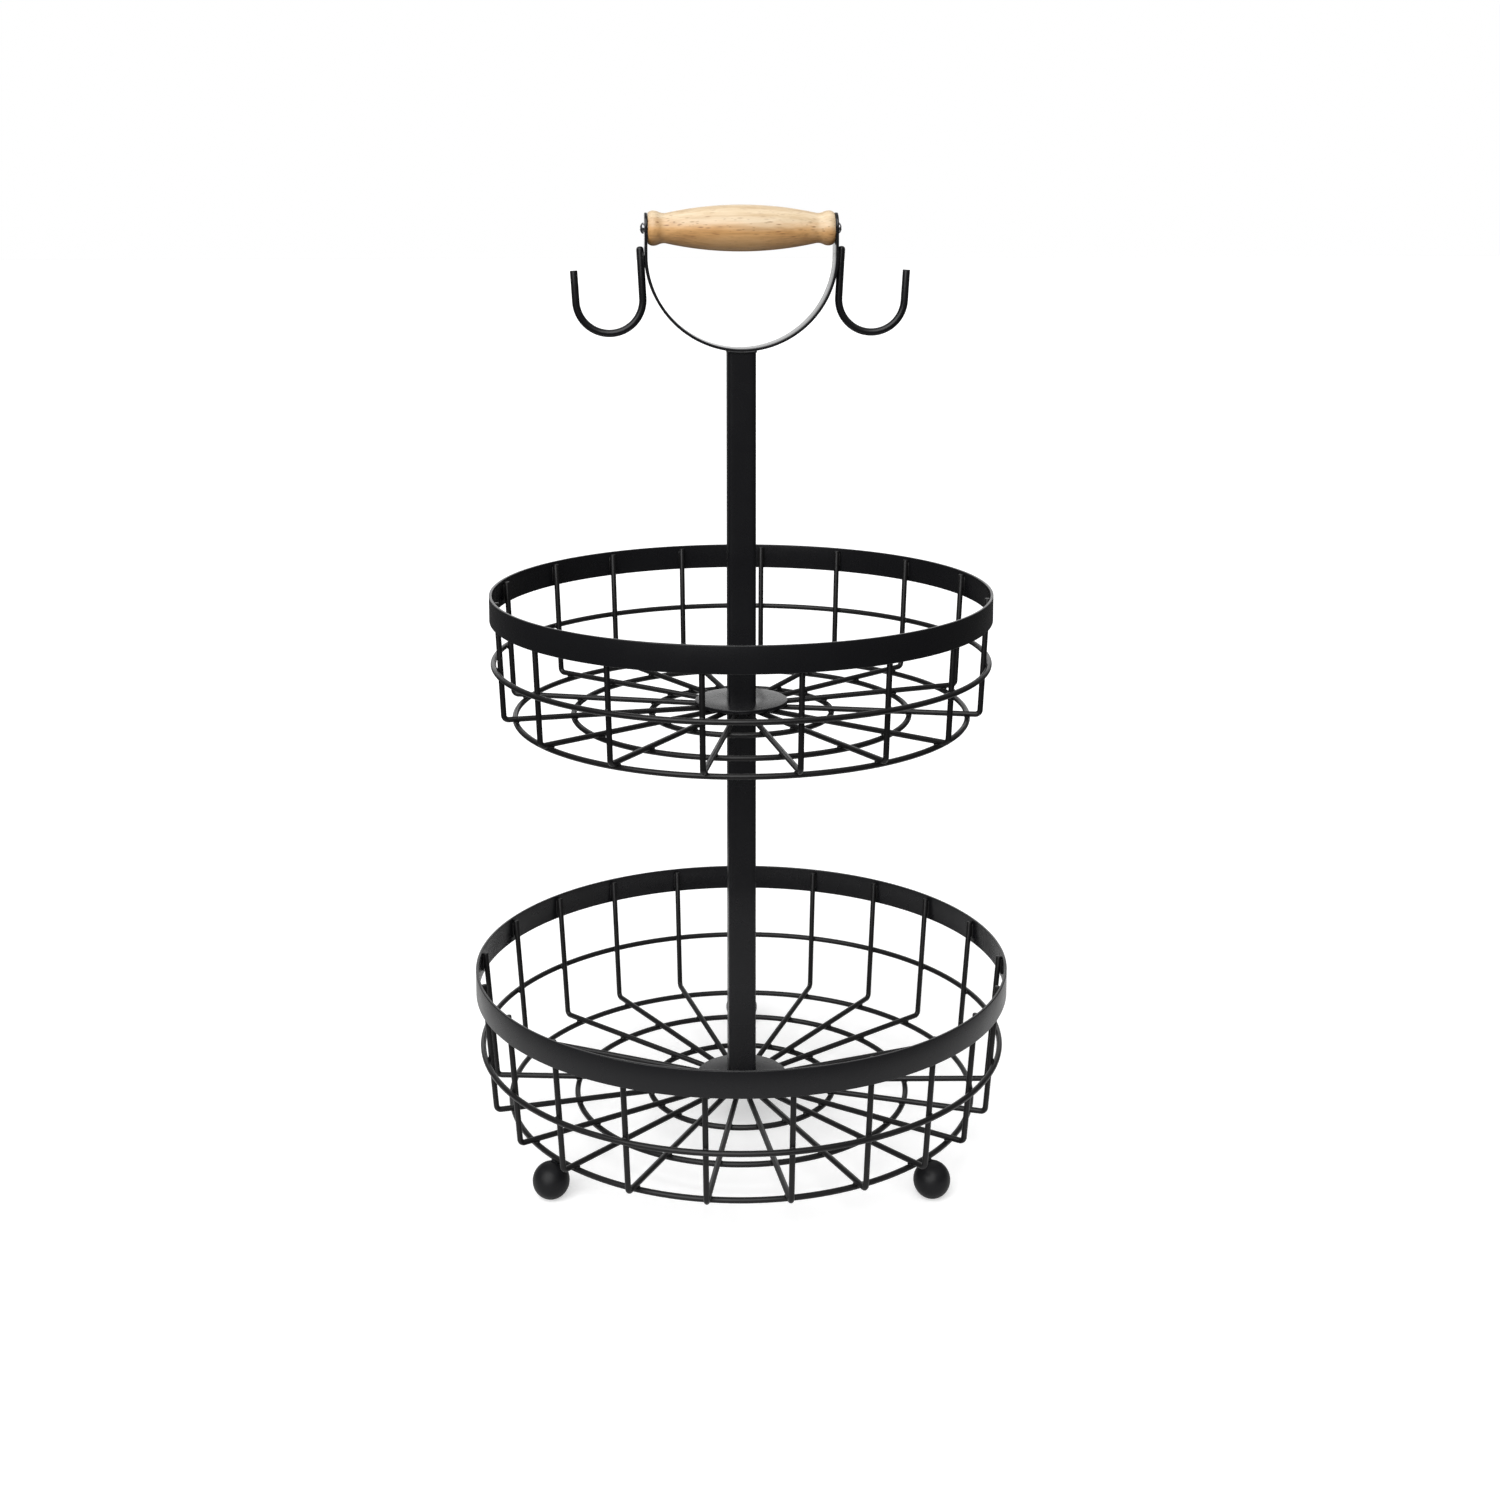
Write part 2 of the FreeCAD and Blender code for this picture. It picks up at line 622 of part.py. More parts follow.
def make_hook(label, turn):
    """A round wire hook, welded by its shank to the outside of an ear."""
    bottom = "-(hook_shank_length + hook_bend_radius)"
    level = "-hook_shank_length"
    swing = "90 - hook_tip_lean"
    lean_end = (f"hook_bend_radius * (1 + sin({swing}))", f"{level} - hook_bend_radius * cos({swing})")
    body, pipe = bent_wire(label, [
        ("0", "0"),
        ("0", level, "hook_bend_radius", LEFT),
        ("hook_bend_radius", bottom, "hook_bend_radius", LEFT),
        lean_end,
        (f"{lean_end[0]} + hook_tip_length * sin(hook_tip_lean)",
         f"{lean_end[1]} + hook_tip_length * cos(hook_tip_lean)"),
    ], "hook_radius", "XY_Plane")
    doc.recompute()
    middle = measure("hook_bend_radius")
    flat_ends = [face for face in pipe.Shape.Faces if isinstance(face.Surface, Part.Plane)]
    weld_end = next(face for face in flat_ends if face.CenterOfMass.x < middle)
    tip_end = next(face for face in flat_ends if face.CenterOfMass.x > middle)
    dressed = add_fillet(body, pipe, lambda edge: edge.isSame(weld_end.Edges[0]), "hook_weld_end_round")
    tip_middle = tip_end.CenterOfMass

    def round_the_tip(edge):
        return edge.isClosed() and edge.CenterOfMass.distanceToPoint(tip_middle) < CLOSE

    add_fillet(body, dressed, round_the_tip, "hook_tip_round")
    place(body, turn=turn, tilt="hook_lean", x=f"hook_top_out * cos({turn})", z="hook_top")
    keep(body, label)


def export_parts():
    """Check every object, then write each sub-part to its own file."""
    doc.recompute()
    for thing in doc.Objects:
        if "Invalid" in thing.State or "Error" in thing.State:
            raise RuntimeError(f"{thing.Label} did not build: {thing.State}")
    for node in nodes:
        if node.Shape.isNull() or not node.Shape.isValid():
            raise RuntimeError(f"{node.Label} has no valid shape")
    os.makedirs("parts", exist_ok=True)
    for node in nodes:
        node.Shape.exportStep(f"parts/{node.Label}.step")
        print(f"{node.Label}: {len(node.Shape.Solids)} solid, {node.Shape.Volume:.1f} mm3")


for basket in BASKETS:
    make_basket(basket)
make_feet()
make_poles()
make_fastenings()
make_strap()
make_grip()
make_grip_screws()
make_hook("left_hook", "180")
make_hook("right_hook", "0")
export_parts()
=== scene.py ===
# %% [markdown]
# # A tiered wire basket stand
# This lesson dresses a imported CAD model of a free-standing fruit stand: a square pole, round wire
# baskets, a strap handle with a turned wooden grip and a wire hook on each side. The CAD model stays
# the frame. Each visible piece is modelled again in mesh code, in the same place and size, with the
# soft edges, weld beads and finishes that the solids leave out.

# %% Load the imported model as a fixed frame
import math

import bmesh
import bpy
from mathutils import Matrix, Vector


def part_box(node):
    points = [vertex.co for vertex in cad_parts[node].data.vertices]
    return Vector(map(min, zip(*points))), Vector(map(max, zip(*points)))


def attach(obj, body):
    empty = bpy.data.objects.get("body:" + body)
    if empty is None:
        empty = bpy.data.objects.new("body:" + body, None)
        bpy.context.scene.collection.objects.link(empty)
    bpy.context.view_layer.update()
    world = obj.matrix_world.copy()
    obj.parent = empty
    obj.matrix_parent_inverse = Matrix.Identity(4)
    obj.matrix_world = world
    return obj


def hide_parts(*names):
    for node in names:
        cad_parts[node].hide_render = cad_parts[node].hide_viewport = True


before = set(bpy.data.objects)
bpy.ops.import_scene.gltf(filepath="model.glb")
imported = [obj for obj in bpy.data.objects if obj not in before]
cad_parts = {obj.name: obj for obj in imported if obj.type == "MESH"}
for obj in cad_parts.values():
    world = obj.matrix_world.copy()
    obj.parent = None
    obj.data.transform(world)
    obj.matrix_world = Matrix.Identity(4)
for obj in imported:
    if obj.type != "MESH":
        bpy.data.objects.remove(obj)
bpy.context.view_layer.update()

MM = 0.001
ORIGIN = Vector((0, 0, 0))
ALONG_X = Vector((1, 0, 0))
ALONG_Y = Vector((0, 1, 0))
ALONG_Z = Vector((0, 0, 1))
FULL_TURN = 2 * math.pi

# %% [markdown]
# ## Reading sizes from the frame
# A node's box gives most sizes: a ring's box holds its radius and the thickness of its wire, and the
# far corner of a basket wire's box tells the angle that the wire stands at. Only what a box can't
# tell, such as a wall or a bend, is written down as a driving size.


# %% Boxes of the CAD nodes
def low(node):
    """Lowest corner of a CAD node."""
    return Vector(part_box(node)[0])


def high(node):
    """Highest corner of a CAD node."""
    return Vector(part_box(node)[1])


def middle(node):
    """Centre of a CAD node's box."""
    return (low(node) + high(node)) / 2


BASKETS = ("lower", "upper")
FLOOR_RINGS = ("outer", "middle", "inner")
WIRE_RADIUS = (high("lower_side_ring").z - low("lower_side_ring").z) / 2
WELD_GAP = 0.05 * MM
print("wire", round(2 * WIRE_RADIUS / MM, 2), "mm")


def wire_nodes(basket):
    """Names of a basket's upright wires, in order."""
    return sorted(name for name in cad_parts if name.startswith(f"{basket}_wire_"))


def ring_radius(node):
    """Centreline radius of a wire ring."""
    return high(node).x - WIRE_RADIUS


def wire_angle(node):
    """Angle of a basket wire from the front towards +X, to half a degree, from its box's far corner."""
    far = [max(low(node)[axis], high(node)[axis], key=abs) for axis in (0, 1)]
    x, y = [reach - math.copysign(WIRE_RADIUS, reach) for reach in far]
    return math.radians(round(2 * math.degrees(math.atan2(x, -y))) / 2)


# %% [markdown]
# ## Shader groups that several finishes share
# Powder coat is sprayed as dust and baked, so it flows into a skin with a faint orange peel. A node
# group holds that skin once: it gives a height for the Bump node, a roughness that drifts a little
# and a mask of fine dust that settles on faces that look up. The shader itself stays in each
# material, because only there the export can read it.


# %% Helpers for node trees
def feed(tree, socket, value):
    """Give an input its value: a link from another node's output, or a plain value."""
    if hasattr(value, "links"):
        tree.links.new(value, socket)
    else:
        socket.default_value = value


def settle(tree, node, **settings):
    """Set a node up: a key that names an input feeds that input, any other sets a property."""
    for name, value in settings.items():
        label = name.replace("_", " ")
        if label in node.inputs:
            feed(tree, node.inputs[label], value)
        else:
            setattr(node, name, value)
    return node


def add_node(tree, kind, **settings):
    """A new node that is set up."""
    return settle(tree, tree.nodes.new(kind), **settings)


def new_group(name, inputs, outputs):
    """A shader group with named number inputs: the group, its inputs and its output node."""
    group = bpy.data.node_groups.new(name, "ShaderNodeTree")
    for label, value in inputs.items():
        socket = group.interface.new_socket(name=label, in_out="INPUT", socket_type="NodeSocketFloat")
        socket.default_value = value
    for label, kind in outputs.items():
        group.interface.new_socket(name=label, in_out="OUTPUT", socket_type=kind)
    return group, group.nodes.new("NodeGroupInput").outputs, group.nodes.new("NodeGroupOutput")


def ramp(tree, fac, stops):
    """A colour ramp through the given (position, colour) stops."""
    node = add_node(tree, "ShaderNodeValToRGB", Fac=fac)
    points = node.color_ramp.elements
    while len(points) < len(stops):
        points.new(0.5)
    for point, (position, colour) in zip(points, stops):
        point.position = position
        point.color = (*colour, 1.0)
    return node.outputs["Color"]


def spread(tree, value, start, end, out_start, out_end):
    """Map a value from one range to another, held at its ends."""
    node = add_node(tree, "ShaderNodeMapRange", clamp=True, Value=value, From_Min=start, From_Max=end,
                    To_Min=out_start, To_Max=out_end)
    return node.outputs["Result"]


def combine(tree, operation, first, second):
    """One step of arithmetic on two values."""
    node = add_node(tree, "ShaderNodeMath", operation=operation)
    feed(tree, node.inputs[0], first)
    feed(tree, node.inputs[1], second)
    return node.outputs[0]


def noise(tree, place, scale, detail=2.0):
    """Noise in waves of about one over scale metres."""
    return add_node(tree, "ShaderNodeTexNoise", Vector=place, Scale=scale, Detail=detail).outputs["Fac"]


def mix(tree, factor, first, second, blend="MIX"):
    """Two colours brought together by a factor."""
    node = add_node(tree, "ShaderNodeMix", data_type="RGBA", blend_type=blend, Factor=factor)
    feed(tree, node.inputs[6], first)
    feed(tree, node.inputs[7], second)
    return node.outputs[2]


def new_material(name):
    """A material, its node tree and its shader."""
    material = bpy.data.materials.new(name)
    material.use_nodes = True
    return material, material.node_tree, material.node_tree.nodes["Principled BSDF"]


# %% The skin of a baked powder coat
FINE_PEEL = 4.0
FINE_PEEL_SHARE = 0.35
CLOUD_SCALE = 55.0
SPECK_SCALE = 1600.0


def make_coat_skin():
    """Group: orange peel, drifting roughness and dust on upward faces."""
    group, given, made = new_group(
        "coat skin",
        {"Peel Scale": 700.0, "Roughness": 0.4, "Roughness Drift": 0.06, "Dust": 0.3},
        {"Height": "NodeSocketFloat", "Roughness": "NodeSocketFloat", "Dust Mask": "NodeSocketFloat"})
    place = add_node(group, "ShaderNodeTexCoord").outputs["Object"]
    peel = noise(group, place, given["Peel Scale"])
    fine = noise(group, place, combine(group, "MULTIPLY", given["Peel Scale"], FINE_PEEL), 1.0)
    height = combine(group, "ADD", peel, combine(group, "MULTIPLY", fine, FINE_PEEL_SHARE))

    cloud = spread(group, noise(group, place, CLOUD_SCALE, 3.0), 0.3, 0.7, -1.0, 1.0)
    drift = combine(group, "MULTIPLY", cloud, given["Roughness Drift"])
    rough = combine(group, "ADD", given["Roughness"], drift)

    normal = add_node(group, "ShaderNodeNewGeometry").outputs["Normal"]
    facing = add_node(group, "ShaderNodeSeparateXYZ", Vector=normal)
    upward = spread(group, facing.outputs["Z"], 0.5, 1.0, 0.0, 1.0)
    specks = spread(group, noise(group, place, SPECK_SCALE, 1.0), 0.55, 0.75, 0.15, 1.0)
    dust = combine(group, "MULTIPLY", combine(group, "MULTIPLY", upward, specks), given["Dust"])
    settle(group, made, Height=height, Roughness=rough, Dust_Mask=dust)
    return group


COAT_SKIN = make_coat_skin()
print("group:", COAT_SKIN.name, [item.name for item in COAT_SKIN.interface.items_tree])


# %% [markdown]
# ## Black finishes
# The bands, plates, pole and hooks share one satin black coat. The strap is glossier: seen almost
# edge on, its inside mirrors the white room. The thin wires and the balls are duller. Each finish
# gives the same group its own values. Dust only lifts the black by a trace: a new stand is clean,
# but black without any drift looks like a cut-out.


# %% Materials with the coat skin
def coated_metal(name, black, dust_grey, peel_height, shine, **skin_values):
    """A satin black metal finish with its own values for the coat skin."""
    material, tree, shader = new_material(name)
    skin = add_node(tree, "ShaderNodeGroup", node_tree=COAT_SKIN, **skin_values).outputs
    colour = ramp(tree, skin["Dust Mask"], [(0.0, black), (1.0, dust_grey)])
    bump = add_node(tree, "ShaderNodeBump", Strength=0.35, Distance=peel_height, Height=skin["Height"])
    settle(tree, shader, Base_Color=colour, Roughness=skin["Roughness"], Normal=bump.outputs["Normal"],
           Specular_IOR_Level=shine)
    return material


BLACK = (0.0065, 0.0065, 0.0075)
DUST_GREY = (0.05, 0.05, 0.052)
BLACK_COAT = coated_metal(
    "satin black coat", BLACK, DUST_GREY, 0.008 * MM, 0.3,
    Peel_Scale=700.0, Roughness=0.27, Roughness_Drift=0.04, Dust=0.2)
STRAP_COAT = coated_metal(
    "glossier black strap", BLACK, DUST_GREY, 0.005 * MM, 0.38,
    Peel_Scale=700.0, Roughness=0.2, Roughness_Drift=0.03, Dust=0.2)
WIRE_COAT = coated_metal(
    "satin black wire", (0.0068, 0.0065, 0.0068), (0.05, 0.05, 0.05), 0.008 * MM, 0.28,
    Peel_Scale=1100.0, Roughness=0.33, Roughness_Drift=0.05, Dust=0.2)
BALL_COAT = coated_metal(
    "smooth black ball", BLACK, (0.04, 0.04, 0.042), 0.006 * MM, 0.18,
    Peel_Scale=500.0, Roughness=0.42, Roughness_Drift=0.04, Dust=0.1)
print("black finishes:", BLACK_COAT.name, STRAP_COAT.name, WIRE_COAT.name, BALL_COAT.name)

# %% [markdown]
# ## Beech
# Beech is pale and even. Its year rings show as soft bands, and its rays as short dark flecks that
# lie along the grain. The grip is turned with the grain along its axis, so every pattern is
# stretched along X. The rings come from the distance to a pith that lies well outside the blank. The
# upper half is painted paler than the lower, tan half: a painted sheen where the light falls on the
# top. The border falls a little to the right, and along it the flecks are densest.


# %% The turned beech finish
# Where the painted sheen of the upper half gives way to tan: its height, its fall to the right and its
# blur.
BORDER = middle("wooden_grip").z + 1.5 * MM
BORDER_FALL = 0.025
BORDER_BLUR = 3.0 * MM
WAVER = 1.2 * MM
SEAM_REACH = 5.0 * MM
PITH_SHIFT = (0.0, 0.055, -0.44)
RING_WANDER = (0.012, 0.012, 0.012)
TAN = ((0.0, (0.55, 0.28, 0.10)), (0.5, (0.71, 0.39, 0.15)), (1.0, (0.80, 0.47, 0.20)))
# The paler tones are the painted sheen of the upper half; the tan tones are the wood's own colour.
PAINTED_SHEEN_TONES = ((0.0, (0.60, 0.43, 0.25)), (0.5, (0.71, 0.55, 0.355)), (1.0, (0.78, 0.63, 0.44)))
FLECK_TINT = (0.42, 0.26, 0.15, 1.0)
LACQUER = 0.35
LACQUER_ROUGHNESS = 0.4


def along_grain(tree, place, stretch):
    """Coordinates squeezed along X, so that a pattern is drawn out along the grain."""
    return add_node(tree, "ShaderNodeMapping", Vector=place, Scale=(stretch, 1.0, 1.0)).outputs["Vector"]


def beech_flecks(tree, place, scale, stretch, share):
    """Mask of short dark dashes along the grain, which cover about the given share."""
    cells = add_node(tree, "ShaderNodeTexVoronoi", feature="F1", Vector=along_grain(tree, place, stretch),
                     Scale=scale, Randomness=1.0)
    dash = spread(tree, cells.outputs["Distance"], 0.1, 0.32, 1.0, 0.0)
    chosen = spread(tree, cells.outputs["Color"], 1.0 - share, 1.0 - share + 0.1, 0.0, 1.0)
    return combine(tree, "MULTIPLY", dash, chosen)


def year_rings(tree, place):
    """Soft bands round a pith outside the blank, which wander a little."""
    pith = add_node(tree, "ShaderNodeMapping", Vector=place, Location=PITH_SHIFT, Scale=(0.06, 1.0, 1.0))
    wander = add_node(tree, "ShaderNodeTexNoise", Vector=pith.outputs["Vector"], Scale=30.0, Detail=3.0)
    bent = add_node(tree, "ShaderNodeVectorMath", operation="MULTIPLY_ADD")
    for socket, value in zip(bent.inputs, (wander.outputs["Color"], RING_WANDER, pith.outputs["Vector"])):
        feed(tree, socket, value)
    rings = add_node(tree, "ShaderNodeTexWave", wave_type="RINGS", rings_direction="X",
                     Vector=bent.outputs[0], Scale=42.0, Distortion=1.2, Detail=2.0, Detail_Scale=1.5)
    return rings.outputs["Fac"]


def make_beech():
    """Turned beech with soft year rings, flecks, a painted sheen on its upper half and a thin satin
    lacquer.
    """
    material, tree, shader = new_material("turned beech")
    place = add_node(tree, "ShaderNodeTexCoord").outputs["Object"]
    streaks = noise(tree, along_grain(tree, place, 0.09), 900.0, 4.0)
    warm = noise(tree, along_grain(tree, place, 0.2), 60.0, 2.0)
    tone = combine(tree, "ADD", combine(tree, "MULTIPLY", year_rings(tree, place), 0.3), streaks)
    tone = combine(tree, "ADD", tone, combine(tree, "MULTIPLY", warm, 0.3))
    tone = spread(tree, tone, 0.5, 1.1, 0.0, 1.0)

    # Painted sheen on the top: above a tilted, wavering height the grip takes the paler tones.
    across = add_node(tree, "ShaderNodeVectorMath", operation="DOT_PRODUCT", Vector=place)
    across.inputs[1].default_value = (BORDER_FALL, 0.0, 1.0)
    waver = spread(tree, noise(tree, along_grain(tree, place, 0.15), 260.0, 3.0), 0.3, 0.7, -WAVER, WAVER)
    above = combine(tree, "ADD", across.outputs["Value"], waver)
    # This mask marks the upper half, where the paler tones paint a sheen of light.
    painted_sheen_top = spread(tree, above, BORDER - BORDER_BLUR, BORDER + BORDER_BLUR, 0.0, 1.0)
    colour = mix(tree, painted_sheen_top, ramp(tree, tone, TAN), ramp(tree, tone, PAINTED_SHEEN_TONES))

    long_flecks = beech_flecks(tree, place, 650.0, 0.22, 0.65)
    short_flecks = beech_flecks(tree, place, 1000.0, 0.3, 0.5)
    seam = spread(tree, combine(tree, "ABSOLUTE", combine(tree, "SUBTRACT", above, BORDER), 0.0),
                  0.0, SEAM_REACH, 1.0, 0.35)
    flecks = combine(tree, "MAXIMUM", long_flecks, combine(tree, "MULTIPLY", short_flecks, 0.7))
    flecks = combine(tree, "MULTIPLY", flecks, seam)
    colour = mix(tree, flecks, colour, FLECK_TINT, "MULTIPLY")

    rough = spread(tree, combine(tree, "ADD", streaks, flecks), 0.3, 1.4, 0.42, 0.6)
    relief = combine(tree, "SUBTRACT", combine(tree, "MULTIPLY", streaks, 0.5), flecks)
    bump = add_node(tree, "ShaderNodeBump", Strength=0.3, Distance=0.03 * MM, Height=relief)
    settle(tree, shader, Base_Color=colour, Roughness=rough, Normal=bump.outputs["Normal"],
           Coat_Weight=LACQUER, Coat_Roughness=LACQUER_ROUGHNESS)
    return material


BEECH = make_beech()
print("wood finish:", BEECH.name, len(BEECH.node_tree.nodes), "nodes")

# %% [markdown]
# ## Plated steel
# The grip screws are bright plated, the hidden fasteners zinc plated. Plating is a mirror that is
# broken up by fine marks of the tool, so the roughness carries a stretched noise and zinc also gets
# its faint yellow and blue clouds.


# %% Materials for the fasteners
def plated_steel(name, tints, mark_scale, rough_low, rough_high):
    """Metal with cloudy tints and fine tool marks."""
    material, tree, shader = new_material(name)
    place = add_node(tree, "ShaderNodeTexCoord").outputs["Object"]
    clouds = noise(tree, place, 400.0, 3.0)
    marks = noise(tree, along_grain(tree, place, 8.0), mark_scale, 2.0)
    colour = ramp(tree, clouds, [(0.3, tints[0]), (0.7, tints[1])])
    rough = spread(tree, marks, 0.3, 0.7, rough_low, rough_high)
    bump = add_node(tree, "ShaderNodeBump", Strength=0.2, Distance=0.01 * MM, Height=marks)
    settle(tree, shader, Base_Color=colour, Roughness=rough, Normal=bump.outputs["Normal"], Metallic=1.0)
    return material


SCREW_STEEL = plated_steel(
    "bright plated screw", ((0.24, 0.24, 0.25), (0.34, 0.34, 0.35)), 900.0, 0.16, 0.3)
ZINC = plated_steel("zinc plate", ((0.52, 0.5, 0.42), (0.5, 0.53, 0.58)), 700.0, 0.3, 0.5)
print("steel finishes:", SCREW_STEEL.name, ZINC.name)

# %% [markdown]
# ## From a bmesh to a piece that rides on the frame
# Every piece ends the same way: doubles are merged, normals are turned outwards, faces are smooth
# with sharp edges kept, and the piece rides on a body of the CAD model. The finished box of a piece
# that stands for a node is compared with the node's box, which shows at once if something sits in
# the wrong place. Up to two tenths of a millimetre come from rounded ends that the solids lack.

# %% Finishing a piece
MERGE_DISTANCE = 0.002 * MM
SHARP_ANGLE = math.radians(38)
node_of = {}


def finish_piece(name, bm, finish, body="stand", nodes=()):
    """Make a scene object of a bmesh and tie it to the frame."""
    bmesh.ops.remove_doubles(bm, verts=bm.verts, dist=MERGE_DISTANCE)
    bmesh.ops.recalc_face_normals(bm, faces=bm.faces)
    mesh = bpy.data.meshes.new(name)
    bm.to_mesh(mesh)
    bm.free()
    mesh.shade_smooth()
    mesh.set_sharp_from_angle(angle=SHARP_ANGLE)
    mesh.materials.append(finish)
    piece = bpy.data.objects.new(name, mesh)
    bpy.context.scene.collection.objects.link(piece)
    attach(piece, body)
    if nodes:
        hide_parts(*nodes)
        node_of[name] = nodes[0]
    return piece


def off_by(*pieces):
    """Most that the boxes of finished pieces differ from those of their nodes, in millimetres."""
    graph = bpy.context.evaluated_depsgraph_get()
    gaps = []
    for piece in pieces:
        corners = piece.evaluated_get(graph).bound_box
        gaps.extend(Vector(corners[0]) - low(node_of[piece.name]))
        gaps.extend(Vector(corners[6]) - high(node_of[piece.name]))
    return round(max(abs(gap) for gap in gaps) / MM, 3)


# %% [markdown]
# ## Drawing wire
# A wire is a circle that is pulled along its path: `extrude_edge_only` makes the straight runs and
# `spin` the bends. A cut end is not a flat disc: the cropped edge is rounded by the coat, so the end
# gets a small dome or chamfer.

# %% Wire helpers
WIRE_SIDES = 16
DOME_STEPS = 3


def edges_of(geometry):
    """Only the edges among mesh elements."""
    return [item for item in geometry if isinstance(item, bmesh.types.BMEdge)]


def verts_of(geometry):
    """Only the points among mesh elements."""
    return [item for item in geometry if isinstance(item, bmesh.types.BMVert)]


def everything(bm):
    """All points, edges and faces of a bmesh."""
    return [*bm.verts, *bm.edges, *bm.faces]


def loop_verts(edges):
    """The points of an edge loop, each once and always in the same order."""
    return list(dict.fromkeys(vert for edge in edges for vert in edge.verts))


def start_wire(bm, radius, place, along, sides=WIRE_SIDES):
    """First circle of a wire at a place, square to its way."""
    turn = ALONG_Z.rotation_difference(along).to_matrix().to_4x4()
    made = bmesh.ops.create_circle(bm, segments=sides, radius=radius,
                                   matrix=Matrix.Translation(place) @ turn)
    return list(dict.fromkeys(edge for vert in made["verts"] for edge in vert.link_edges))


def run_on(bm, edges, way):
    """Carry a loop of edges straight on."""
    made = bmesh.ops.extrude_edge_only(bm, edges=edges)["geom"]
    verts = set(verts_of(made))
    bmesh.ops.translate(bm, verts=list(verts), vec=way)
    return [edge for edge in edges_of(made) if verts.issuperset(edge.verts)]


def bend_on(bm, edges, centre, axis, angle, steps):
    """Carry a loop of edges round a bend."""
    made = bmesh.ops.spin(bm, geom=edges, cent=centre, axis=axis, angle=angle, steps=steps)
    return edges_of(made["geom_last"])


def close_end(bm, edges, way, reach, keep):
    """Round the end of a wire over a reach, down to a share of its radius, and close it."""
    verts = loop_verts(edges)
    centre = sum((vert.co for vert in verts), ORIGIN.copy()) / len(verts)
    forward = way.normalized()
    depth = 0.0
    size = 1.0
    for step in range(1, DOME_STEPS + 1):
        turn = step / DOME_STEPS * math.pi / 2
        next_depth = reach * math.sin(turn)
        next_size = 1 - (1 - keep) * (1 - math.cos(turn))
        edges = run_on(bm, edges, forward * (next_depth - depth))
        space = Matrix.Translation(-centre - forward * next_depth)
        bmesh.ops.scale(bm, vec=Vector.Fill(3, next_size / size), space=space, verts=loop_verts(edges))
        depth = next_depth
        size = next_size
    bmesh.ops.edgeloop_fill(bm, edges=edges)


# %% [markdown]
# ## Rings
# The side ring and the floor rings are one circle of wire spun about the pole. A real ring is bent
# from a straight length and butt welded, so each ring also gets a slightly thicker joint at the
# back, which belongs to the weld pieces further down.

# %% Make the rings
RING_STEPS = 160


def make_ring(node):
    """A closed wire ring in the place of its node."""
    bm = bmesh.new()
    start = Vector((ring_radius(node), 0, middle(node).z))
    circle = start_wire(bm, WIRE_RADIUS, start, ALONG_Y)
    bmesh.ops.spin(bm, geom=circle, cent=ORIGIN, axis=ALONG_Z, angle=FULL_TURN, steps=RING_STEPS,
                   use_merge=True)
    return finish_piece(f"{node}_bent", bm, WIRE_COAT, nodes=[node])


rings = [make_ring(f"{basket}_side_ring") for basket in BASKETS]
rings += [make_ring(f"{basket}_floor_ring_{ring}") for basket in BASKETS for ring in FLOOR_RINGS]
print("rings:", len(rings))

# %% [markdown]
# ## Basket wires
# Each wire runs out along the floor, turns up in a tight bend and leans out to the inside of the
# rim band. It is drawn in the plane through the pole and turned to its angle. The wires are set by
# hand in the welding jig, so they don't stand quite evenly.

# %% Make the basket wires
BEND_RADIUS = 2.6 * MM
BEND_STEPS = 8
WIRE_END_REACH = 0.35 * MM
WIRE_END_KEEP = 0.6
BAND_THICKNESS = 1.5 * MM
WIRE_BELOW_RIM = 1.3 * MM
TAPER = {"lower": 5.75 * MM, "upper": 3.25 * MM}
RADIAL_CLEARANCE = 2.9 * MM
POLE_CORNER = 2.0 * MM
pole_half = high("lower_pole").x
RADIAL_END = (pole_half - POLE_CORNER) * math.sqrt(2) + POLE_CORNER + RADIAL_CLEARANCE


def basket_shape(basket):
    """Main places of a basket's wires: floor height, corner radius, rise and lean."""
    floor = low(f"{basket}_centre_plate").z - WELD_GAP - WIRE_RADIUS
    top_radius = high(f"{basket}_rim_band").x - BAND_THICKNESS - WELD_GAP - WIRE_RADIUS
    rise = high(f"{basket}_rim_band").z - WIRE_BELOW_RIM - floor
    lean = math.atan(TAPER[basket] / rise)
    return {"floor": floor, "corner": top_radius - TAPER[basket], "rise": rise, "lean": lean}


def turned_to(angle):
    """Matrix that turns the +X side to an angle from the front."""
    return Matrix.Rotation(angle - math.pi / 2, 4, "Z")


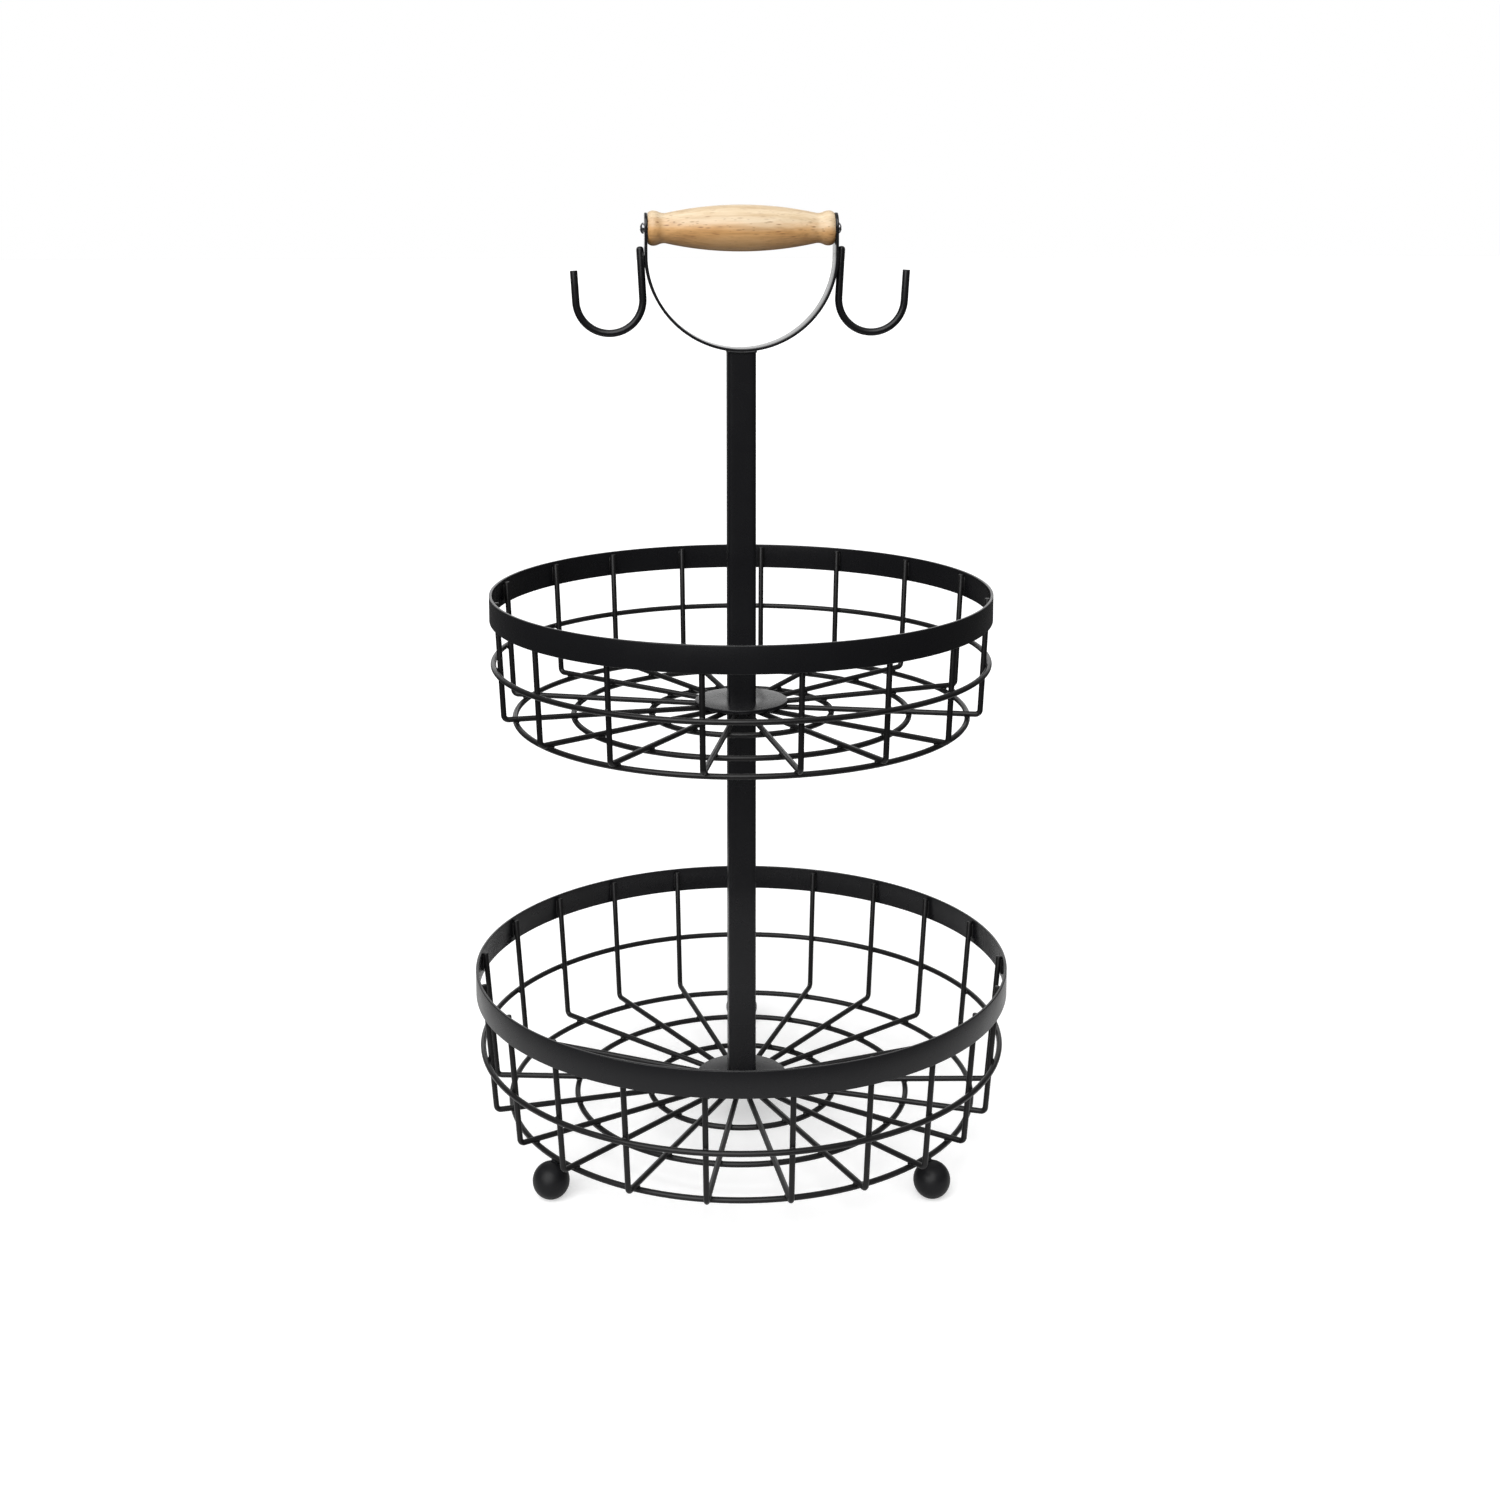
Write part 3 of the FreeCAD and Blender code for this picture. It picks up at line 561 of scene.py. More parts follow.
def make_basket_wire(basket, node):
    """One L-shaped wire."""
    shape = basket_shape(basket)
    upward = Vector((math.sin(shape["lean"]), 0, math.cos(shape["lean"])))
    reach = BEND_RADIUS * math.tan(math.pi / 4 - shape["lean"] / 2)
    start = Vector((RADIAL_END, 0, shape["floor"]))
    bend_start = shape["corner"] - reach
    bm = bmesh.new()
    first = start_wire(bm, WIRE_RADIUS, start + ALONG_X * WIRE_END_REACH, ALONG_X)
    edges = run_on(bm, first, ALONG_X * (bend_start - RADIAL_END - WIRE_END_REACH))
    pivot = Vector((bend_start, 0, shape["floor"] + BEND_RADIUS))
    edges = bend_on(bm, edges, pivot, -ALONG_Y, math.pi / 2 - shape["lean"], BEND_STEPS)
    wall = math.hypot(TAPER[basket], shape["rise"]) - reach
    edges = run_on(bm, edges, upward * (wall - WIRE_END_REACH))
    close_end(bm, edges, upward, WIRE_END_REACH, WIRE_END_KEEP)
    close_end(bm, first, -ALONG_X, WIRE_END_REACH, WIRE_END_KEEP)
    bmesh.ops.transform(bm, matrix=turned_to(wire_angle(node)), verts=bm.verts)
    return finish_piece(f"{node}_drawn", bm, WIRE_COAT, nodes=[node])


wires = [make_basket_wire(basket, node) for basket in BASKETS for node in wire_nodes(basket)]
print("wires:", len(wires), "rings and wires", off_by(*rings, *wires), "mm off")

# %% [markdown]
# ## Turned shapes
# Bands and plates are outlines that are spun about the pole. An outline is a few corners in an upright
# plane, and `bevel` on its points rounds the corners before the spin, so the round edge has the same
# width all the way.

# %% Outlines and spinning
def outline(bm, points):
    """A closed chain of edges through corner points."""
    verts = [bm.verts.new(point) for point in points]
    for pair in zip(verts, verts[1:] + verts[:1]):
        bm.edges.new(pair)
    return verts


def bar_section(bm, inner, outer, bottom, top):
    """A rectangle in the upright plane through X, from its low inner corner round to the high inner one."""
    return outline(bm, [(inner, 0, bottom), (outer, 0, bottom), (outer, 0, top), (inner, 0, top)])


def soften(bm, verts, radius, segments):
    """Round some corners of an outline."""
    bmesh.ops.bevel(bm, geom=verts, offset=radius, offset_type="OFFSET", segments=segments, profile=0.5,
                    affect="VERTICES", material=-1)


def spin_outline(bm, axis, steps):
    """Spin all that is drawn about an axis through the origin, to a closed shape."""
    bmesh.ops.spin(bm, geom=[*bm.verts, *bm.edges], cent=ORIGIN, axis=axis, angle=FULL_TURN, steps=steps,
                   use_merge=True)


# %% [markdown]
# ## Rim bands
# The rim is a flat bar rolled to a hoop. Its rounded top edge is what catches a thin line of light
# all round, so the edge has real geometry.

# %% Make the rim bands
BAND_STEPS = 192
BAND_EDGE = 0.4 * MM
EDGE_STEPS = 4


def make_band(basket):
    """The rolled flat bar round a basket's mouth."""
    node = f"{basket}_rim_band"
    outer = high(node).x
    bm = bmesh.new()
    corners = bar_section(bm, outer - BAND_THICKNESS, outer, low(node).z, high(node).z)
    soften(bm, corners, BAND_EDGE, EDGE_STEPS)
    spin_outline(bm, ALONG_Z, BAND_STEPS)
    return finish_piece(f"{node}_rolled", bm, BLACK_COAT, nodes=[node])


bands = [make_band(basket) for basket in BASKETS]
print("bands:", off_by(*bands), "mm off")

# %% [markdown]
# ## Centre plates
# A stamped disc lies over the inner wire ends. Stamping leaves a slightly rolled edge on one side,
# so the upper edge is rounder than the lower one.

# %% Make the centre plates
PLATE_STEPS = 96
PLATE_TOP_EDGE = 0.45 * MM
PLATE_LOW_EDGE = 0.15 * MM
PLATE_HOLE = 3.2 * MM


def make_plate(basket):
    """The stamped disc that the pole stands on."""
    node = f"{basket}_centre_plate"
    bm = bmesh.new()
    corners = bar_section(bm, PLATE_HOLE, high(node).x, low(node).z, high(node).z)
    soften(bm, corners[2:], PLATE_TOP_EDGE, EDGE_STEPS)
    soften(bm, corners[:2], PLATE_LOW_EDGE, EDGE_STEPS // 2)
    spin_outline(bm, ALONG_Z, PLATE_STEPS)
    return finish_piece(f"{node}_stamped", bm, BLACK_COAT, nodes=[node])


plates = [make_plate(basket) for basket in BASKETS]
print("plates:", off_by(*plates), "mm off")

# %% [markdown]
# ## The pole
# Both lengths are square tube with round corners. A square face gets its corners rounded, an inset
# gives the wall, and an extrusion the length. The top of the upper length is cut to the round of
# the strap, so its top points move up to a circle about the strap's bend.

# %% Make the pole
POLE_WALL = 1.2 * MM
CORNER_STEPS = 6
SADDLE_CUTS = 5
strap_outer = high("handle_strap").x
bend_centre = low("handle_strap").z + strap_outer


def make_tube(node, saddle=False):
    """A length of square tube."""
    half, bottom, top = high(node).x, low(node).z, high(node).z
    bm = bmesh.new()
    base = Matrix.Translation((0, 0, bottom))
    bmesh.ops.create_grid(bm, x_segments=1, y_segments=1, size=half, matrix=base)
    soften(bm, bm.verts[:], POLE_CORNER, CORNER_STEPS)
    bmesh.ops.inset_region(bm, faces=bm.faces[:], thickness=POLE_WALL, use_boundary=True,
                           use_even_offset=True)
    core = max(bm.faces, key=lambda face: len(face.verts))
    bmesh.ops.delete(bm, geom=[core], context="FACES_ONLY")
    flats = [edge for edge in bm.edges if edge.calc_length() > half]
    bmesh.ops.subdivide_edges(bm, edges=flats, cuts=SADDLE_CUTS, use_grid_fill=True)
    made = bmesh.ops.extrude_face_region(bm, geom=bm.faces[:])["geom"]
    rim = verts_of(made)
    bmesh.ops.translate(bm, verts=rim, vec=ALONG_Z * (top - bottom))
    if saddle:
        for vert in rim:
            vert.co.z = bend_centre - math.sqrt((strap_outer + WELD_GAP) ** 2 - vert.co.x ** 2)
    return finish_piece(f"{node}_tube", bm, BLACK_COAT, nodes=[node])


poles = [make_tube("lower_pole"), make_tube("upper_pole", saddle=True)]
print("poles:", off_by(*poles), "mm off")

# %% [markdown]
# ## Ball feet
# Three balls under the outer floor ring carry the stand, two in front and one behind the pole, each
# with a small flat. A sphere is cut at the table with `bisect_plane`, and the cut is closed.

# %% Make the feet
FOOT_RADIUS = 9.5 * MM
FOOT_FLAT_RADIUS = 3.0 * MM
FOOT_OUTSET = 3.5 * MM
FOOT_SEGMENTS = 48
FOOT_RINGS = 32
FOOT_SPREAD = 48.6
FOOT_TURN = -4.3
FOOT_ANGLES = [math.radians(FOOT_TURN + angle) for angle in (FOOT_SPREAD, 180.0, -FOOT_SPREAD)]
foot_circle = ring_radius("lower_floor_ring_outer") + FOOT_OUTSET
foot_height = math.sqrt(FOOT_RADIUS ** 2 - FOOT_FLAT_RADIUS ** 2)


def make_feet():
    """Three balls, each cut flat where it rests."""
    bm = bmesh.new()
    for angle in FOOT_ANGLES:
        place = turned_to(angle) @ Vector((foot_circle, 0, foot_height))
        bmesh.ops.create_uvsphere(bm, u_segments=FOOT_SEGMENTS, v_segments=FOOT_RINGS, radius=FOOT_RADIUS,
                                  matrix=Matrix.Translation(place))
    cut = bmesh.ops.bisect_plane(bm, geom=everything(bm), plane_co=ORIGIN, plane_no=ALONG_Z,
                                 clear_inner=True)
    bmesh.ops.edgeloop_fill(bm, edges=edges_of(cut["geom_cut"]))
    return finish_piece("ball_feet_turned", bm, BALL_COAT, nodes=["ball_feet"])


feet = make_feet()
print("feet:", off_by(feet), "mm off")

# %% [markdown]
# ## The strap
# The handle is one flat strip: an ear, a half circle and the other ear. The strip starts as a sheet
# at the middle of its thickness. An ear's outline with its screw hole is filled first, its lower edge
# is then spun round the bend, and the far ear is a mirror copy. Solidify gives the thickness, and a
# fine bevel rounds the edges.

# %% Make the strap
STRAP_THICKNESS = 1.5 * MM
EAR_CORNER = 7.5 * MM
EAR_HOLE = 2.075 * MM
STRAP_EDGE = 0.3 * MM
STRAP_EDGE_STEPS = 3
STRAP_EDGE_ANGLE = math.radians(50)
EAR_STEPS = 10
EAR_HOLE_SIDES = 32
STRAP_BEND_STEPS = 32
strap_half = high("handle_strap").y
strap_middle = strap_outer - STRAP_THICKNESS / 2
grip_axis = middle("wooden_grip").z


def make_strap():
    """The bent strap with its two ears."""
    bm = bmesh.new()
    top = high("handle_strap").z
    corners = [(-strap_half, bend_centre), (strap_half, bend_centre), (strap_half, top), (-strap_half, top)]
    verts = outline(bm, [(strap_middle, y, z) for y, z in corners])
    soften(bm, verts[2:], EAR_CORNER, EAR_STEPS)
    hole = Matrix.Translation((strap_middle, 0, grip_axis)) @ Matrix.Rotation(math.pi / 2, 4, "Y")
    bmesh.ops.create_circle(bm, segments=EAR_HOLE_SIDES, radius=EAR_HOLE, matrix=hole)
    bmesh.ops.triangle_fill(bm, edges=bm.edges[:], use_beauty=True, normal=ALONG_X)
    low_verts = {vert for vert in bm.verts if abs(vert.co.z - bend_centre) < MERGE_DISTANCE}
    foot = [edge for edge in bm.edges if low_verts.issuperset(edge.verts)]
    bend_on(bm, foot, Vector((0, 0, bend_centre)), ALONG_Y, math.pi / 2, STRAP_BEND_STEPS)
    bmesh.ops.mirror(bm, geom=everything(bm), axis="X", merge_dist=MERGE_DISTANCE)
    piece = finish_piece("handle_strap_bent", bm, STRAP_COAT, nodes=["handle_strap"])
    wall = piece.modifiers.new("thickness", "SOLIDIFY")
    wall.thickness = STRAP_THICKNESS
    wall.offset = 0.0
    wall.use_even_offset = True
    edge = piece.modifiers.new("soft edges", "BEVEL")
    edge.width = STRAP_EDGE
    edge.segments = STRAP_EDGE_STEPS
    edge.limit_method = "ANGLE"
    edge.angle_limit = STRAP_EDGE_ANGLE
    return piece


strap = make_strap()
print("strap:", off_by(strap), "mm off")

# %% [markdown]
# ## The grip
# The grip is turned on a lathe, so its outline is a chain of arcs: a long belly, a hollow neck, a
# bead and the rounded end. Spinning a single point about an arc's centre draws that arc, one after the
# other, and a second spin about the grip's axis gives the solid. Half is drawn, and mirrored.

# %% Make the grip
NECK_RADIUS = 7.9 * MM
NECK_FROM_END = 8.6 * MM
NECK_ROUND = 5.0 * MM
BEAD_RISE = 1.35 * MM
BEAD_FROM_END = 2.8 * MM
END_DROP = 1.2 * MM
PILOT_RADIUS = 2.05 * MM
PILOT_DEPTH = 21.0 * MM
GRIP_STEPS = 96
END_STEPS = 10
NECK_STEPS = 6
BELLY_STEPS = 24


def arc_on(bm, vert, centre, angle, steps):
    """Draw an arc from a point, about a centre in the plane through X and Z."""
    pivot = Vector((centre[0], 0, centre[1]))
    made = bmesh.ops.spin(bm, geom=[vert], cent=pivot, axis=-ALONG_Y, angle=angle, steps=steps)
    return verts_of(made["geom_last"])[0]


def line_on(bm, vert, x, z):
    """Draw a straight stretch to a new point."""
    end = bm.verts.new((x, 0, z))
    bm.edges.new((vert, end))
    return end


def make_grip():
    """The turned wooden grip with a pilot hole at each end."""
    half = high("wooden_grip").x
    belly = high("wooden_grip").y
    rise = belly - NECK_RADIUS
    neck_x = half - NECK_FROM_END
    bead_x = half - BEAD_FROM_END
    bead = NECK_RADIUS + BEAD_RISE
    end_curve = (BEAD_FROM_END ** 2 + END_DROP ** 2) / (2 * END_DROP)
    bead_curve = ((bead_x - neck_x) ** 2 + BEAD_RISE ** 2) / (4 * BEAD_RISE)
    belly_curve = (neck_x ** 2 - 2 * NECK_ROUND * rise + rise ** 2) / (2 * rise)
    end_turn = math.asin(BEAD_FROM_END / end_curve)
    bead_turn = math.asin((bead_x - neck_x) / (2 * bead_curve))
    belly_turn = math.asin(neck_x / (belly_curve + NECK_ROUND))

    bm = bmesh.new()
    tip = bm.verts.new((half - PILOT_DEPTH, 0, 0))
    tip = line_on(bm, tip, half - PILOT_DEPTH, PILOT_RADIUS)
    tip = line_on(bm, tip, half, PILOT_RADIUS)
    tip = line_on(bm, tip, half, bead - END_DROP)
    tip = arc_on(bm, tip, (bead_x, bead - end_curve), end_turn, END_STEPS)
    tip = arc_on(bm, tip, (bead_x, bead - bead_curve), bead_turn, NECK_STEPS)
    tip = arc_on(bm, tip, (neck_x, NECK_RADIUS + bead_curve), -bead_turn, NECK_STEPS)
    tip = arc_on(bm, tip, (neck_x, NECK_RADIUS + NECK_ROUND), -belly_turn, NECK_STEPS)
    arc_on(bm, tip, (0, belly - belly_curve), belly_turn, BELLY_STEPS)
    spin_outline(bm, ALONG_X, GRIP_STEPS)
    bmesh.ops.mirror(bm, geom=everything(bm), axis="X", merge_dist=MERGE_DISTANCE)
    bmesh.ops.translate(bm, verts=bm.verts, vec=ALONG_Z * grip_axis)
    return finish_piece("wooden_grip_turned", bm, BEECH, body="grip", nodes=["wooden_grip"])


grip = make_grip()
print("grip:", off_by(grip), "mm off")

# %% [markdown]
# ## Grip screws
# A pan head screw goes through each ear into the wood and turns with the grip. The head is spun from
# its outline. A punch presses the cross recess into the real head, and the same is done here: planes
# score the outline of the cross into the dome, and the faces inside it are sunk to one level.

# %% Make the grip screws
SCREW_RADIUS = 2.0 * MM
SCREW_DEPTH = 20.0 * MM
HEAD_RADIUS = 2.9 * MM
HEAD_HEIGHT = 2.0 * MM
HEAD_EDGE = 0.8 * MM
HEAD_GAP = 0.3 * MM
RECESS_LENGTH = 3.0 * MM
RECESS_WIDTH = 0.9 * MM
RECESS_DEPTH = 0.8 * MM
SCREW_STEPS = 48
HEAD_STEPS = 8
NO_MERGE = -1


def recess(bm, top, edge):
    """Press a cross into the domed end of a screw along X: score its outline, sink what is inside."""
    def dome():
        return [face for face in bm.faces if face.calc_center_median().x > edge]

    def inside(face):
        reach = sorted((abs(face.calc_center_median().y), abs(face.calc_center_median().z)))
        return reach[0] < RECESS_WIDTH / 2 and reach[1] < RECESS_LENGTH / 2

    for size in (RECESS_WIDTH, RECESS_LENGTH):
        for out in (ALONG_Y, -ALONG_Y, ALONG_Z, -ALONG_Z):
            faces = dome()
            edges = dict.fromkeys(side for face in faces for side in face.edges)
            verts = dict.fromkeys(corner for face in faces for corner in face.verts)
            bmesh.ops.bisect_plane(bm, geom=[*verts, *edges, *faces], plane_co=out * size / 2, plane_no=out)
    pressed = [face for face in dome() if inside(face)]
    sunk = bmesh.ops.extrude_face_region(bm, geom=pressed)["geom"]
    bmesh.ops.delete(bm, geom=[face for face in pressed if face.is_valid], context="FACES_ONLY")
    level = Matrix.Translation(-ALONG_X * (top - RECESS_DEPTH))
    bmesh.ops.scale(bm, verts=verts_of(sunk), vec=(0, 1, 1), space=level)


def make_grip_screws():
    """Both pan head screws, as one piece."""
    seat = strap_outer + HEAD_GAP
    rise = HEAD_HEIGHT - HEAD_EDGE
    dome = (HEAD_RADIUS ** 2 + rise ** 2) / (2 * rise)
    point = high("wooden_grip").x - SCREW_DEPTH
    bm = bmesh.new()
    tip = bm.verts.new((point, 0, 0))
    tip = line_on(bm, tip, point + SCREW_RADIUS, SCREW_RADIUS)
    tip = line_on(bm, tip, seat, SCREW_RADIUS)
    tip = line_on(bm, tip, seat, HEAD_RADIUS)
    tip = line_on(bm, tip, seat + HEAD_EDGE, HEAD_RADIUS)
    arc_on(bm, tip, (seat + HEAD_HEIGHT - dome, 0), -math.asin(HEAD_RADIUS / dome), HEAD_STEPS)
    spin_outline(bm, ALONG_X, SCREW_STEPS)
    bmesh.ops.remove_doubles(bm, verts=bm.verts, dist=MERGE_DISTANCE)
    recess(bm, seat + HEAD_HEIGHT, seat + HEAD_EDGE)
    bmesh.ops.mirror(bm, geom=everything(bm), axis="X", merge_dist=NO_MERGE)
    bmesh.ops.translate(bm, verts=bm.verts, vec=ALONG_Z * grip_axis)
    return finish_piece("grip_screws_pan_head", bm, SCREW_STEEL, body="grip",
                        nodes=["grip_screws"])


screws = make_grip_screws()
print("screws:", len(screws.data.polygons), "faces,", off_by(screws), "mm off")

# %% [markdown]
# ## Hooks
# Each hook is a thicker wire: a shank that is welded to the outside of the strap, half a circle and
# an open end. It is bent upright and then swung out a little about the middle of the strap's bend, so
# its shank still touches the strap. The weld end is dressed round, the open end cropped square.

# %% Make the hooks
HOOK_BEND = 17.6 * MM
HOOK_SHANK = 27.2 * MM
HOOK_TIP = 16.6 * MM
HOOK_WELD_REACH = 7.1 * MM
HOOK_LEAN = math.radians(3.0)
HOOK_TIP_LEAN = math.radians(0.5)
HOOK_SIDES = 24
HOOK_BEND_STEPS = 36
HOOK_DRESSED = 1.6 * MM
HOOK_CROPPED = 0.3 * MM


def swung_out(side):
    """Matrix that swings what is on one side out about the middle of the strap's bend."""
    pivot = Matrix.Translation((0, 0, bend_centre))
    return pivot @ Matrix.Rotation(side * HOOK_LEAN, 4, "Y") @ pivot.inverted()


def make_hook(node, side):
    """A J of round wire on one side of the handle."""
    radius = high(node).y
    shank_x = side * (strap_outer + WELD_GAP + radius)
    top = bend_centre + HOOK_WELD_REACH
    down = -ALONG_Z
    lean = Vector((side * math.sin(HOOK_TIP_LEAN), 0, math.cos(HOOK_TIP_LEAN)))
    bm = bmesh.new()
    first = start_wire(bm, radius, Vector((shank_x, 0, top - HOOK_DRESSED)), down, HOOK_SIDES)
    edges = run_on(bm, first, down * (HOOK_SHANK - HOOK_DRESSED))
    pivot = Vector((shank_x + side * HOOK_BEND, 0, top - HOOK_SHANK))
    edges = bend_on(bm, edges, pivot, -side * ALONG_Y, math.pi - HOOK_TIP_LEAN, HOOK_BEND_STEPS)
    edges = run_on(bm, edges, lean * (HOOK_TIP - HOOK_CROPPED))
    close_end(bm, edges, lean, HOOK_CROPPED, 1 - HOOK_CROPPED / radius)
    close_end(bm, first, ALONG_Z, HOOK_DRESSED, 1 - HOOK_DRESSED / radius)
    bmesh.ops.transform(bm, matrix=swung_out(side), verts=bm.verts)
    return finish_piece(f"{node}_bent", bm, BLACK_COAT, nodes=[node])


hooks = [make_hook("left_hook", -1), make_hook("right_hook", 1)]
print("hooks:", off_by(*hooks), "mm off")

# %% [markdown]
# ## Weld beads
# The CAD model leaves a hair of room where pieces are welded. The beads fill it: small flattened
# drops where wires cross, fillets beside each wire end on the rim band, a collar where a ring is
# butt welded, and fillets round the pole's top and beside the hooks. A bead is a coarse ball that is
# squeezed to its size and turned to lie in its corner. Only the two fillets along the strap are short
# bent wires.

# %% Bead helper
BEAD_DETAIL = 2


def bead(bm, place, size, out, up=ALONG_Z):
    """A squeezed ball: size along out, across, and along up."""
    across = up.cross(out).normalized()
    rise = out.cross(across).normalized()
    axes = Matrix((out.normalized(), across, rise)).transposed().to_4x4()
    matrix = Matrix.Translation(place) @ axes @ Matrix.Diagonal((*size, 1))
    bmesh.ops.create_icosphere(bm, subdivisions=BEAD_DETAIL, radius=1.0, matrix=matrix)


# %% Beads of a basket
SPOT = 1.65 * MM
SPOT_RISE = 0.6 * MM
FILLET = 0.6 * MM
RIM_FILLET_LENGTH = 4.6 * MM
RIM_FILLET_SIDE = 0.9
JOINT_ANGLE = math.radians(171)
JOINT_SWELL = 1.12
JOINT_LENGTH = 1.3 * MM


def weld_basket(basket):
    """All beads of one basket, as one piece."""
    shape = basket_shape(basket)
    floor_rings = [f"{basket}_floor_ring_{ring}" for ring in FLOOR_RINGS]
    side = f"{basket}_side_ring"
    band = f"{basket}_rim_band"
    plate_edge = high(f"{basket}_centre_plate").x
    bm = bmesh.new()
    for node in wire_nodes(basket):
        out = turned_to(wire_angle(node)) @ ALONG_X
        across = ALONG_Z.cross(out)
        for ring in floor_rings:
            place = out * ring_radius(ring) + ALONG_Z * (shape["floor"] - WIRE_RADIUS - WELD_GAP / 2)
            bead(bm, place, (SPOT, SPOT, SPOT_RISE), out)
        place = out * (ring_radius(side) - WIRE_RADIUS - WELD_GAP / 2) + ALONG_Z * middle(side).z
        bead(bm, place, (SPOT_RISE, SPOT, SPOT), out)
        place = out * (plate_edge - SPOT) + ALONG_Z * (shape["floor"] + WIRE_RADIUS + WELD_GAP / 2)
        bead(bm, place, (SPOT, SPOT, SPOT_RISE), out)
        for hand in (-1, 1):
            beside = across * hand * (WIRE_RADIUS * RIM_FILLET_SIDE)
            place = out * (high(band).x - BAND_THICKNESS - FILLET / 2) + beside
            bead(bm, place + ALONG_Z * middle(band).z, (FILLET, FILLET, RIM_FILLET_LENGTH), out)
    back = turned_to(JOINT_ANGLE) @ ALONG_X
    swell = WIRE_RADIUS * JOINT_SWELL
    for ring in (*floor_rings, side):
        place = back * ring_radius(ring) + ALONG_Z * middle(ring).z
        bead(bm, place, (swell, JOINT_LENGTH, swell), back)
    return finish_piece(f"{basket}_basket_welds", bm, WIRE_COAT)


basket_welds = [weld_basket(basket) for basket in BASKETS]
print("basket welds:", [len(piece.data.polygons) for piece in basket_welds], "faces")

# %% Beads of the feet and the handle
FOOT_BEAD = (0.9 * MM, 2.6 * MM, 2.6 * MM)
POLE_BEAD = 0.75 * MM
POLE_BEAD_SPAN = math.radians(7.9)
POLE_BEAD_SIDES = 12
POLE_BEAD_STEPS = 16
POLE_BEAD_KEEP = 0.3
HOOK_BEAD = (0.7 * MM, 0.7 * MM, 5.5 * MM)
HOOK_BEAD_DROP = 1.0 * MM
HOOK_BEAD_OUT = 0.3
HOOK_BEAD_SIDE = 0.75


def weld_feet():
    """A flattened bead between each ball and the ring above it."""
    bm = bmesh.new()
    ring = Vector((ring_radius("lower_floor_ring_outer"), 0, middle("lower_floor_ring_outer").z))
    ball = Vector((foot_circle, 0, foot_height))
    toward = (ring - ball).normalized()
    for angle in FOOT_ANGLES:
        turn = turned_to(angle)
        bead(bm, turn @ (ball + toward * FOOT_RADIUS), FOOT_BEAD, turn @ toward, turn @ ALONG_X)
    return finish_piece("foot_welds", bm, BALL_COAT)


def weld_handle():
    """Fillets round the pole's top, and beside both hook shanks."""
    bm = bmesh.new()
    pivot = Vector((0, 0, bend_centre))
    hook_radius = high("right_hook").y
    for hand in (-1, 1):
        start = pivot + Vector((0, hand * pole_half, -(strap_outer + POLE_BEAD / 3)))
        first = start_wire(bm, POLE_BEAD, start, ALONG_X, POLE_BEAD_SIDES)
        to_start = Matrix.Rotation(POLE_BEAD_SPAN, 3, "Y")
        bmesh.ops.rotate(bm, verts=loop_verts(first), cent=pivot, matrix=to_start)
        last = bend_on(bm, first, pivot, ALONG_Y, -2 * POLE_BEAD_SPAN, POLE_BEAD_STEPS)
        close_end(bm, first, -ALONG_X, POLE_BEAD, POLE_BEAD_KEEP)
        close_end(bm, last, ALONG_X, POLE_BEAD, POLE_BEAD_KEEP)
        drop = bend_centre - math.sqrt(strap_outer ** 2 - pole_half ** 2)
        side = Vector((hand * pole_half, 0, drop - POLE_BEAD / 2))
        bead(bm, side, (POLE_BEAD, pole_half, POLE_BEAD), ALONG_X * hand)
        swing = swung_out(hand)
        for front in (-1, 1):
            out = hand * (strap_outer + HOOK_BEAD_OUT * hook_radius)
            aside = front * HOOK_BEAD_SIDE * hook_radius
            place = swing @ Vector((out, aside, bend_centre - HOOK_BEAD_DROP))
            bead(bm, place, HOOK_BEAD, swing.to_3x3() @ ALONG_X * hand, swing.to_3x3() @ ALONG_Z)
    return finish_piece("handle_welds", bm, BLACK_COAT)


other_welds = [weld_feet(), weld_handle()]
print("other welds:", [len(piece.data.polygons) for piece in other_welds], "faces")

# %% [markdown]
# ## Hidden fasteners
# The plugs and the stud sit inside the pole, and the base screw shows only from below. Their CAD
# shapes are right as they are, so they stay and get the zinc finish.

# %% Finish the fasteners
FASTENERS = ("pole_plugs", "joining_stud", "base_screw")
for node in FASTENERS:
    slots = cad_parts[node].data.materials
    slots.clear()
    slots.append(ZINC)
print("fasteners with zinc:", ", ".join(FASTENERS))

# %% [markdown]
# ## Studio
# The stand is photographed on white. A wide soft key light comes from the upper left in front. Round
# about the room is dim, which keeps black metal black, while white overhead and behind draws the pale
# tops of the plates and the strap. Only the floor near the stand is pale, and further off it is dark
# for everything but the camera, which sees white all over. The picture is exposed for the black
# coat, which bleaches the floor, so faint shadows vanish and only those close to a piece remain.

# %% Floor
FLOOR_SIZE = 14.0
LIT_RADIUS = 0.3
DIM_RADIUS = 0.5
BLEACH = 0.44
FLOOR_FAR = (0.06, 0.06, 0.06)
FLOOR_NEAR = (0.76, 0.76, 0.76)
WHITE = (1.0, 1.0, 1.0, 1.0)


